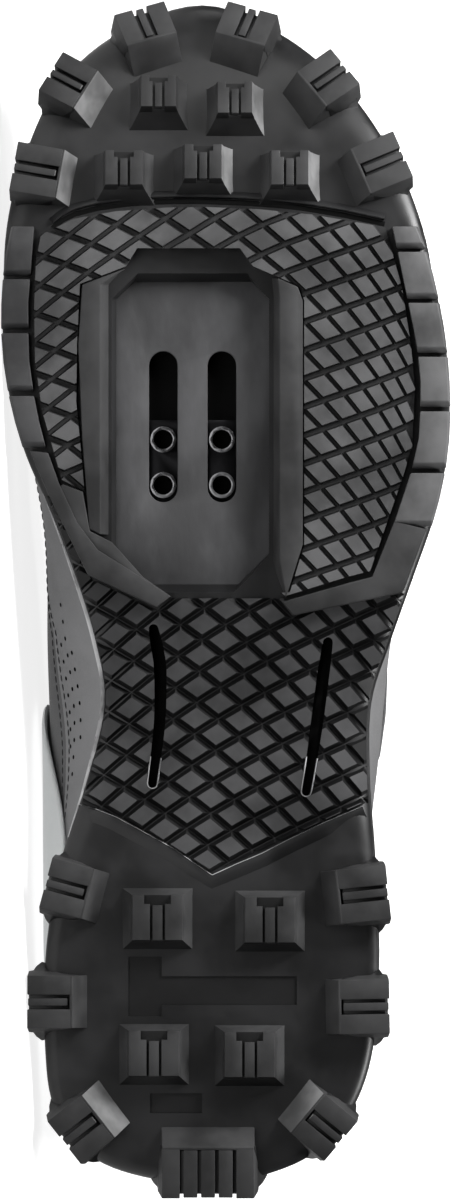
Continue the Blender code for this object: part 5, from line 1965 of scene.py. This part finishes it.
@dataclass(frozen=True)
class CleatBay:
    """The stiff plate in the window with its two slots, and the steel nuts behind it."""

    shoe: Shoe
    x: float = SIZE.cleat_along * SIZE.length
    y: float = SIZE.cleat_across * SIZE.ball
    base: float = SOLE.joint(SIZE.cleat_along * SIZE.length) + SIZE.gap
    nut_plate_thick: float = 1.6 * MM
    nut_margin: float = 4.6 * MM
    barrel_radius: float = 3.1 * MM
    bore_radius: float = 2.3 * MM

    def slot(self, side: int, low: float, high: float) -> Object:
        """One slot with round ends, as a cutter.

        Args:
            side: -1 for the inner slot, 1 for the outer one.
            low: the height of one end.
            high: the height of the other.

        Returns:
            The cutter.
        """
        radius, steps = SIZE.slot_width / 2, 14
        front = self.x + SIZE.slot_ahead - radius
        rear = front + 2 * radius - SIZE.slot_length
        y = self.y + side * SIZE.slot_spacing / 2
        plan = []
        for middle, turn in ((front, -0.5), (rear, 0.5)):
            for k in range(steps + 1):
                angle = math.pi * (turn + k / steps)
                plan.append((middle + radius * math.cos(angle), y + radius * math.sin(angle)))
        return Bench.outwards(Bench.stack("slot", [[(a, b, z) for a, b in plan] for z in (low, high)]))

    def plate(self) -> None:
        """The plate, slotted, with softened edges."""
        corners = Outsole.window_corners(2.4 * MM)
        top = self.base + SIZE.plate_thick
        obj = Bench.stack("cleat_plate_body", [[(a, b, z) for a, b in corners] for z in (self.base, top)])
        for side in (-1, 1):
            Bench.boolean(obj, self.slot(side, self.base - 2 * MM, top + 2 * MM))
        Bench.smooth(Bench.bevel(obj, 0.3 * MM), 35)
        self.shoe.lay(PLATE_NYLON.dress(obj), "cleat_plate", "cleat_plate")

    def nuts(self) -> None:
        """The steel plate with four bored barrels whose rims are rounded."""
        base = self.base + SIZE.plate_thick + SIZE.gap
        near, spacing = self.x - SIZE.nut_behind, SIZE.slot_spacing / 2
        places = [(near + a, self.y + side * spacing) for a in (0, SIZE.nut_spacing) for side in (-1, 1)]
        x0, x1 = places[0][0] - self.nut_margin, places[-1][0] + self.nut_margin
        y0, y1 = places[0][1] - self.nut_margin, places[-1][1] + self.nut_margin
        plan = ((x0, y0), (x1, y0), (x1, y1), (x0, y1))
        heights = (base, base + self.nut_plate_thick)
        obj = Bench.stack("nut_plate_body", [[(a, b, z) for a, b in plan] for z in heights])
        for radius, low, high, operation in (
            (self.barrel_radius, base - 1.9 * MM, base + 0.8 * MM, "UNION"),
            (self.bore_radius, base - 3.8 * MM, base + 3.2 * MM, "DIFFERENCE"),
        ):
            for x, y in places:
                bpy.ops.object.select_all(action="DESELECT")
                bpy.ops.mesh.primitive_cylinder_add(
                    vertices=32, radius=radius, depth=high - low, location=(x, y, (low + high) / 2)
                )
                tool = bpy.context.object
                bpy.ops.object.transform_apply(location=True, rotation=True, scale=True)
                Bench.boolean(obj, tool, operation)
        Bench.smooth(Bench.bevel(obj, 0.25 * MM), 35)
        # The plate between the barrels takes the near-black steel as painted shade; the barrels keep plain
        # steel.
        SHADED_NUT_STEEL.dress(obj, BARREL_STEEL, rule=lambda face: int(face.center.z < base - 1.5 * MM))
        self.shoe.lay(obj, "nut_plate", "nut_plate")

    def build(self) -> None:
        """Both pieces."""
        self.plate()
        self.nuts()


# Straps: node, row of the last, width, and the shares where the inner and the outer end lie
STRAPS = (
    ("strap_front", 8.05, 19 * MM, 0.52, 0.46),
    ("strap_middle", 6.75, 19 * MM, 0.50, 0.44),
    ("strap_top", 5.35, 25 * MM, 0.48, 0.42),
)
# Upper edge of the panel on the inner side, as turns and shares of the last
RAND_EDGE = ((4.76, 0.135), (5.06, 0.145), (5.66, 0.176), (6.1, 0.19), (6.52, 0.255), (7.6, 0.27))
# Rows of pinholes on that panel, each from one turn and share to another
PINHOLE_ROWS = (((4.7, 0.10), (6.42, 0.135)), ((4.95, 0.118), (6.0, 0.148)), ((5.02, 0.085), (5.92, 0.108)))
Rows = tuple[np.ndarray, ...]


def across_throat(row: np.ndarray, side: np.ndarray) -> np.ndarray:
    """The turns of places on a row of the last, on the inner side where side is negative."""
    return np.where(side < 0, row, -row)


@dataclass(frozen=True)
class Upper:
    """The hollow upper with its toe cap, heel counter, tongue and straps."""

    shoe: Shoe
    overlay_wall: float = 1.4 * MM
    strap_wall: float = 1.8 * MM
    rand_wall: float = 0.45 * MM
    stitch: tuple[float, float, float] = (0.85 * MM, 0.2 * MM, 0.16 * MM)
    strap_stitch: tuple[float, float, float] = (0.95 * MM, 0.2 * MM, 0.16 * MM)
    pinhole: tuple[float, float, float] = (0.55 * MM, 0.33 * MM, 0.04 * MM)

    @staticmethod
    def away(point: Vector) -> Vector:
        """Outwards from the last's middle line at a point."""
        return Vector((0.25 * (point.x - 0.5 * SIZE.length), point.y, point.z - 55 * MM)).normalized()

    def shell(self) -> None:
        """The wall of the upper, closed over the forefoot and open at collar, throat and foot."""

        def place(u: np.ndarray, v: np.ndarray) -> np.ndarray:
            """The outer face of the wall."""
            turn = u * FOOT.turns
            return FOOT.skin(turn, FOOT.rim(turn) * v, 0.0)

        obj = Bench.drape("upper_shell", FOOT.turns * 7, 26, place)
        Bench.edit(obj, lambda: bpy.ops.mesh.remove_doubles(threshold=SEAM_DOUBLES))
        Bench.face_along(obj, self.away)
        layer = obj.data.uv_layers[0].data
        walls: dict[int, float] = {}
        for loop in obj.data.loops:
            u, v = layer[loop.index].uv
            turn = np.array([u * FOOT.turns])
            walls[loop.vertex_index] = float(FOOT.wall(turn, FOOT.rim(turn) * v)[0])
        thickest = max(walls.values())
        group = obj.vertex_groups.new(name="wall")
        for index, wall in walls.items():
            group.add([index], wall / thickest, "REPLACE")
        Bench.thicken(obj, thickest, offset=-1.0, use_even_offset=False, vertex_group="wall")
        Bench.smooth(obj, 60)
        UPPER_LEATHER.dress(obj, LINING, rule=lambda f: int(f.normal.dot(self.away(f.center)) < -0.4))
        self.shoe.lay(obj, "upper", "upper")

    def overlay(self, name: str, grid: tuple[int, int], wall: float, lift: float, rule: Callable) -> Object:
        """A sheet laid over the upper.

        Args:
            name: the object's name.
            grid: faces round the foot and upwards.
            wall: its thickness.
            lift: how far its inner face stands off the last.
            rule: gives turn and share from arrays of u and v.

        Returns:
            The thickened sheet.
        """
        obj = Bench.drape(name, *grid, lambda u, v: FOOT.skin(*rule(u, v), lift))
        Bench.face_along(obj, self.away)
        return Bench.smooth(Bench.thicken(obj, wall), 60)

    def toe_cap(self) -> None:
        """The bumper round the toe, highest at the tip."""

        def rule(u: np.ndarray, v: np.ndarray) -> Rows:
            """Turn and share, narrower and higher towards the top."""
            side = 2 * u - 1
            turn = FOOT.turns / 2 + side * (2.7 - 0.35 * v)
            return turn, 0.02 + (0.16 + 0.20 * (1 - side**2)) * v

        obj = self.overlay("upper_toe_cap", (60, 12), self.overlay_wall, SIZE.overlay_gap, rule)
        self.shoe.lay(CAP_RUBBER.dress(obj), "toe_cap", "toe_cap")

    def counter(self) -> None:
        """The light counter round the heel. Its front edges lean forward, further on the inner side."""

        def rule(u: np.ndarray, v: np.ndarray) -> Rows:
            """Turn and share, lower towards the front edges."""
            side = 2 * u - 1
            reach = np.where(side > 0, 3.85, 3.6) + np.where(side > 0, 1.6, 0.6) * np.sin(v * math.pi / 2)
            top = 0.50 - 0.09 * np.minimum(np.abs(side) * 1.3, 1.0) ** 2 - 0.02
            return side * reach, 0.02 + top * v

        obj = self.overlay("upper_heel_counter", (80, 18), self.overlay_wall, SIZE.overlay_gap, rule)
        self.shoe.lay(COUNTER_FILM.dress(obj), "heel_counter", "heel_counter")

    def tongue(self) -> None:
        """The padded tongue under the throat, with sewn channels across it."""
        first, last, channels, dip = 4.15, 9.2, 7, 1.1 * MM
        inside = SIZE.upper_wall + SIZE.overlay_gap + 2 * SIZE.gap

        def place(u: np.ndarray, v: np.ndarray) -> np.ndarray:
            """The outer face, with a trough at each channel."""
            row, side = first + (last - first) * u, 2 * v - 1
            spread = 0.30 + 0.10 * np.clip((7 - row) / 3, 0, 1)
            channel = 0.5 + 0.5 * np.cos(u * 2 * math.pi * channels)
            sunk = dip * channel**6 * (1 - side**4)
            return FOOT.skin(across_throat(row, side), 1 - spread * np.abs(side), -inside - sunk)

        obj = Bench.drape("tongue_pad", 84, 24, place)
        Bench.face_along(obj, lambda p: Vector((0, 0, 1)))
        Bench.thicken(obj, 0.72 * SIZE.tongue, offset=-1.0, use_even_offset=False)
        TONGUE_MESH.dress(Bench.smooth(obj, 70))
        self.shoe.lay(obj, "tongue", "tongue")

    @staticmethod
    def half_strap(row: float, width: float) -> float:
        """Half a strap's width in rows of the last.

        Args:
            row: the row that its middle lies on.
            width: its width.

        Returns:
            The number of rows.
        """
        ends = FOOT.point(np.array([row + 0.25, row - 0.25]), np.array([1.0, 1.0]))
        return width / (float(np.linalg.norm(ends[0] - ends[1])) * 2) / 2

    def straps(self) -> None:
        """Three straps over the throat, fixed on the inner side."""
        for name, row, width, inner_end, outer_end in STRAPS:
            half = self.half_strap(row, width)

            def place(u: np.ndarray, v: np.ndarray) -> np.ndarray:
                """The inner face of the strap, whose outer end is a little bowed."""
                side, at = 2 * u - 1, row + half * (2 * v - 1)
                bow = 0.02 * (1 - np.abs(2 * v - 1))
                end = np.where(side < 0, inner_end, outer_end - bow)
                return FOOT.skin(across_throat(at, side), 1 - (1 - end) * np.abs(side), 2 * SIZE.gap)

            obj = Bench.drape(name + "_band", 60, 8, place)
            Bench.face_along(obj, lambda p: Vector((0, 0, 1)))
            Bench.smooth(Bench.thicken(obj, self.strap_wall), 50)
            self.shoe.lay(STRAP_WEB.dress(obj), "straps", name)

    @staticmethod
    def trace(path: Plan, lift: float, step: float) -> Rows:
        """Points at equal steps along a path on the last.

        Args:
            path: pairs of turn and share that the path runs through.
            lift: how far it stands off the last.
            step: the distance between points.

        Returns:
            The points, their outward directions and the directions of the path.
        """
        knots = np.array(path, float)
        u = np.linspace(0, len(knots) - 1, 40 * len(knots))
        turns = np.interp(u, np.arange(len(knots)), knots[:, 0])
        shares = np.interp(u, np.arange(len(knots)), knots[:, 1])
        raw = FOOT.skin(turns, shares, lift)
        run = np.concatenate(([0.0], np.cumsum(np.linalg.norm(np.diff(raw, axis=0), axis=1))))
        at = np.arange(0.5 * step, run[-1], step)
        turns, shares = np.interp(at, run, turns), np.interp(at, run, shares)
        points = FOOT.skin(turns, shares, lift)
        ways = np.gradient(points, axis=0)
        ways /= np.linalg.norm(ways, axis=1, keepdims=True)
        return points, FOOT.normal(turns, np.minimum(shares, 0.97)), ways

    @staticmethod
    def dashes(name: str, rows: Sequence[Rows], size: tuple[float, float, float], sides: int = 6) -> Object:
        """Many small flat domes along traced rows, as one mesh.

        Args:
            name: the object's name.
            rows: traced rows of points, normals and ways.
            size: half length along the way, half width and height.
            sides: corners of each dome.

        Returns:
            The mesh object.
        """
        points: list[tuple[float, ...]] = []
        faces: list[tuple[int, ...]] = []
        for place, normal, way in (dome for row in rows for dome in zip(*row)):
            across, base = np.cross(normal, way), len(points)
            for share, high in ((1.0, -0.3), (0.95, 0.45), (0.5, 1.0)):
                for k in range(sides):
                    angle = 2 * math.pi * k / sides
                    p = place + way * math.cos(angle) * size[0] * share
                    p = p + across * math.sin(angle) * size[1] * share + normal * size[2] * high
                    points.append(tuple(p))
            for level in (0, 1):
                for k in range(sides):
                    j, a = (k + 1) % sides, base + level * sides
                    faces.append((a + k, a + j, a + sides + j, a + sides + k))
            faces.append(tuple(base + 2 * sides + k for k in range(sides)))
            faces.append(tuple(base + k for k in reversed(range(sides))))
        return Bench.from_arrays(name, points, faces)

    def rand(self) -> None:
        """The panel along the foot of the inner side, with its pinholes."""
        turns, shares = zip((3.9, 0.12), *RAND_EDGE, (9.4, 0.2))

        def rule(u: np.ndarray, v: np.ndarray) -> Rows:
            """Turn and share, up to the panel's edge."""
            turn = turns[0] + (turns[-1] - turns[0]) * u
            return turn, 0.01 + (np.interp(turn, turns, shares) - 0.01) * v

        obj = self.overlay("upper_inner_rand", (70, 6), self.rand_wall, 0.05 * MM, rule)
        self.shoe.lay(RAND_LEATHER.dress(obj), "upper", "upper")
        # The pinholes are small domes painted near-black: painted shade in the holes.
        holes = [self.trace(row, 0.52 * MM, 4.1 * MM) for row in PINHOLE_ROWS]
        obj = self.dashes("upper_pinholes", holes, self.pinhole, 8)
        self.shoe.lay(PAINTED_HOLE_SHADE.dress(obj), "upper", "upper")

    def stitching(self) -> None:
        """Two rows of stitches along the edge of the panel, and stitches round the ends of the straps."""
        edge = tuple((t, s - 0.018) for t, s in ((4.0, 0.122), *RAND_EDGE, (9.3, 0.204)))
        above = tuple((t, s + 0.04) for t, s in edge)
        rows = [self.trace(edge, 0.5 * MM, 2.2 * MM), self.trace(above, 0.0, 2.2 * MM)]
        obj = self.dashes("upper_stitches", rows, self.stitch)
        self.shoe.lay(THREAD.dress(obj), "upper", "upper")
        lift, step = 2 * SIZE.gap + self.strap_wall, 2.6 * MM
        for name, row, width, inner_end, outer_end in STRAPS:
            half, rows = self.half_strap(row, width), []
            ends = ((1, inner_end + 0.03), (-1, outer_end + 0.03))
            for side in (-0.84, 0.84):
                for sign, end in ends:
                    at = sign * (row + half * side)
                    rows.append(self.trace(((at, end), (at, 0.97)), lift, step))
            for sign, end in ends:
                ring = tuple((sign * (row + half * a), end) for a in (-0.8, 0.8))
                rows.append(self.trace(ring, lift, step))
            obj = self.dashes(name + "_stitches", rows, self.strap_stitch)
            self.shoe.lay(THREAD.dress(obj), "straps", name)

    def binding(self) -> None:
        """The rolled edge round the collar and the throat."""
        first, sides, radius, proud = 8.6, 8, 1.25 * MM, 0.35 * MM
        turns = np.linspace(-first, first, 180)
        rims = FOOT.rim(turns)
        walls = FOOT.wall(turns, rims)
        middle, outward = FOOT.skin(turns, rims, -walls / 2), FOOT.normal(turns, rims)
        ways = np.gradient(middle, axis=0)
        ways /= np.linalg.norm(ways, axis=1, keepdims=True)
        up = np.cross(ways, outward)
        up /= np.linalg.norm(up, axis=1, keepdims=True)
        points = []
        for k, wall in enumerate(walls):
            for j in range(sides):
                angle = 2 * math.pi * j / sides
                out = outward[k] * math.cos(angle) * (float(wall) / 2 + proud)
                points.append(tuple(middle[k] + out + up[k] * math.sin(angle) * radius))
        obj = Bench.smooth(Bench.tube("upper_binding", points, sides), 80)
        self.shoe.lay(RAND_LEATHER.dress(obj), "upper", "upper")

    def build(self) -> None:
        """All pieces of the upper."""
        for make in (self.shell, self.rand, self.binding, self.toe_cap, self.counter, self.tongue):
            make()
        self.straps()
        self.stitching()


@dataclass(frozen=True)
class Footing:
    """The midsole between outsole and upper, and the insole. Rings are shares of the height and insets."""

    shoe: Shoe
    midsole_rings: Plan = (
        *((0.0, 1.0), (0.08, 0.62), (0.3, 0.5), (0.45, 0.55)),
        *((0.52, 0.85), (0.59, 0.6), (0.9, 0.85), (1.0, 1.8)),
    )
    insole_rings: Plan = ((0.0, 0.4), (0.15, 0.0), (0.75, 0.0), (0.93, 0.35), (1.0, 1.2))
    pocket_depth: float = 5.5 * MM

    def midsole(self) -> None:
        """The foam midsole, with a shallow groove along its side and a pocket behind the cleat plate."""
        rings = []
        for t, inset in self.midsole_rings:
            ring = SOLE.ring(lambda x, inset=inset: SIZE.midsole_inset * inset)
            for p in ring:
                low = SOLE.joint(p.x) + SIZE.gap
                p.z = low + (SOLE.foot(p.x) - low) * t
            rings.append(ring)
        obj = loft("midsole_foam", rings, 6)
        corners = Outsole.window_corners(2.7 * MM)
        base = SOLE.joint(SIZE.cleat_along * SIZE.length)
        heights = (base - 2 * MM, base + self.pocket_depth)
        pocket = Bench.stack("pocket", [[(x, y, z) for x, y in corners] for z in heights])
        Bench.boolean(obj, Bench.outwards(pocket))

        def rule(face: bpy.types.MeshPolygon) -> int:
            """The floor of the pocket, which shows through the slots, painted near-black as shade."""
            inside = all(abs(face.center[k] - (corners[0][k] + corners[4][k]) / 2) < 38 * MM for k in (0, 1))
            return int(inside and abs(face.center.z - base - self.pocket_depth) < 0.2 * MM)

        # The pocket floor seen through the slots is painted near-black: painted shade.
        MIDSOLE_FOAM.dress(Bench.smooth(obj, 40), PAINTED_HOLE_SHADE, rule=rule)
        self.shoe.lay(obj, "midsole", "midsole")

    def insole(self) -> None:
        """The loose footbed with a rounded upper edge."""
        inset = SIZE.upper_inset + SIZE.upper_wall + 2.4 * MM
        rings = []
        for t, more in self.insole_rings:
            ring = SOLE.ring(lambda x, more=more: inset + more * MM)
            for p in ring:
                p.z = SOLE.foot(p.x) + SIZE.gap + SIZE.insole * t
            rings.append(ring)
        obj = Bench.smooth(loft("insole_footbed", rings, 12), 50)
        self.shoe.lay(INSOLE_COVER.dress(obj), "insole", "insole")

    def build(self) -> None:
        """Both pieces."""
        self.midsole()
        self.insole()


@dataclass(frozen=True)
class Lamp:
    """A square area lamp that looks at a point. Its spread is in degrees."""

    name: str
    place: tuple[float, float, float]
    size: float
    power: float
    aim: tuple[float, float, float] = (0.0, 0.0, 0.05)
    spread: float = 180.0

    def build(self) -> None:
        """Adds the lamp to the scene."""
        data = bpy.data.lights.new(self.name, "AREA")
        data.shape = "SQUARE"
        data.size = self.size
        data.energy = self.power
        data.spread = math.radians(self.spread)
        obj = bpy.data.objects.new(self.name, data)
        bpy.context.scene.collection.objects.link(obj)
        obj.location = Vector(self.place)
        way = Vector(self.aim) - Vector(self.place)
        obj.rotation_euler = way.to_track_quat("-Z", "Y").to_euler()


LAMPS = (
    Lamp("key", (-0.33, -0.27, 0.50), 0.25, 7.4),
    Lamp("heel side", (0.30, -0.12, 0.62), 0.2, 3.2),
    Lamp("toe side", (-0.62, -0.42, 0.22), 0.25, 1.0),
    Lamp("backdrop", (0.0, 2.0, 1.5), 2.2, 70, (0.0, 2.0, 0.0), 84),
)


@dataclass(frozen=True)
class Studio:
    """A pale floor, broad soft lamps and the camera below the sole."""

    distance: float = 4.0
    view_height: float = 285.7 * MM
    middle: tuple[float, float] = (142.6, 4.4)
    floor_size: float = 14.0
    glow: float = 0.45
    paleness: float = 0.82
    floor_colour: float = 0.40
    world_light: float = 0.03
    sensor: float = 36.0

    def camera(self, shoe: Shoe) -> None:
        """Looks straight at the sole, toe up.

        Args:
            shoe: the shoe, which says where its own frame lies.
        """
        data = bpy.data.cameras.new("camera")
        data.sensor_width = data.sensor_height = self.sensor
        data.sensor_fit = "AUTO"
        data.lens = self.sensor * self.distance / self.view_height
        data.clip_end = 50.0
        obj = bpy.data.objects.new("camera", data)
        bpy.context.scene.collection.objects.link(obj)
        x, y = self.middle
        place = Vector((x * MM, y * MM, -self.distance))
        turn = Matrix(((0, 1, 0), (1, 0, 0), (0, 0, -1)))
        obj.matrix_world = shoe.matrix @ Matrix.Translation(place) @ turn.to_4x4()
        bpy.context.scene.camera = obj

    def build(self, shoe: Shoe) -> None:
        """Floor, lamps, world and camera.

        Args:
            shoe: the shoe that the camera looks at.
        """
        bpy.ops.object.select_all(action="DESELECT")
        bpy.ops.mesh.primitive_plane_add(size=self.floor_size, location=(0, 0, 0))
        floor = bpy.context.object
        floor.name = "floor"
        material = bpy.data.materials.new("pale floor")
        material.use_nodes = True
        book = NodeBook(material.node_tree)
        seen = book.add("ShaderNodeLightPath").outputs["Is Camera Ray"]
        looks = {
            "Base Color": (*(self.floor_colour,) * 3, 1),
            "Roughness": 0.9,
            "Emission Strength": book.between(seen, 0.0, 1.0, self.glow, self.paleness),
            "Emission Color": (1, 1, 1, 1),
        }
        book.fill(material.node_tree.nodes["Principled BSDF"], looks)
        floor.data.materials.append(material)
        floor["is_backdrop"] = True
        for lamp in LAMPS:
            lamp.build()
        world = bpy.data.worlds.new("studio")
        world.use_nodes = True
        sky = world.node_tree.nodes["Background"]
        NodeBook(world.node_tree).fill(sky, {"Color": (1, 1, 1, 1), "Strength": self.world_light})
        bpy.context.scene.world = world
        bpy.context.scene.view_settings.view_transform = "Standard"
        self.camera(shoe)


def main() -> None:
    """Builds the shoe's pieces in order, then the studio."""
    logging.basicConfig(level=logging.INFO, format="%(name)s %(message)s")
    shoe = Shoe()
    Outsole(shoe).build()
    CleatBay(shoe).build()
    Footing(shoe).build()
    Upper(shoe).build()
    Studio().build(shoe)


if __name__ == "__main__":
    main()
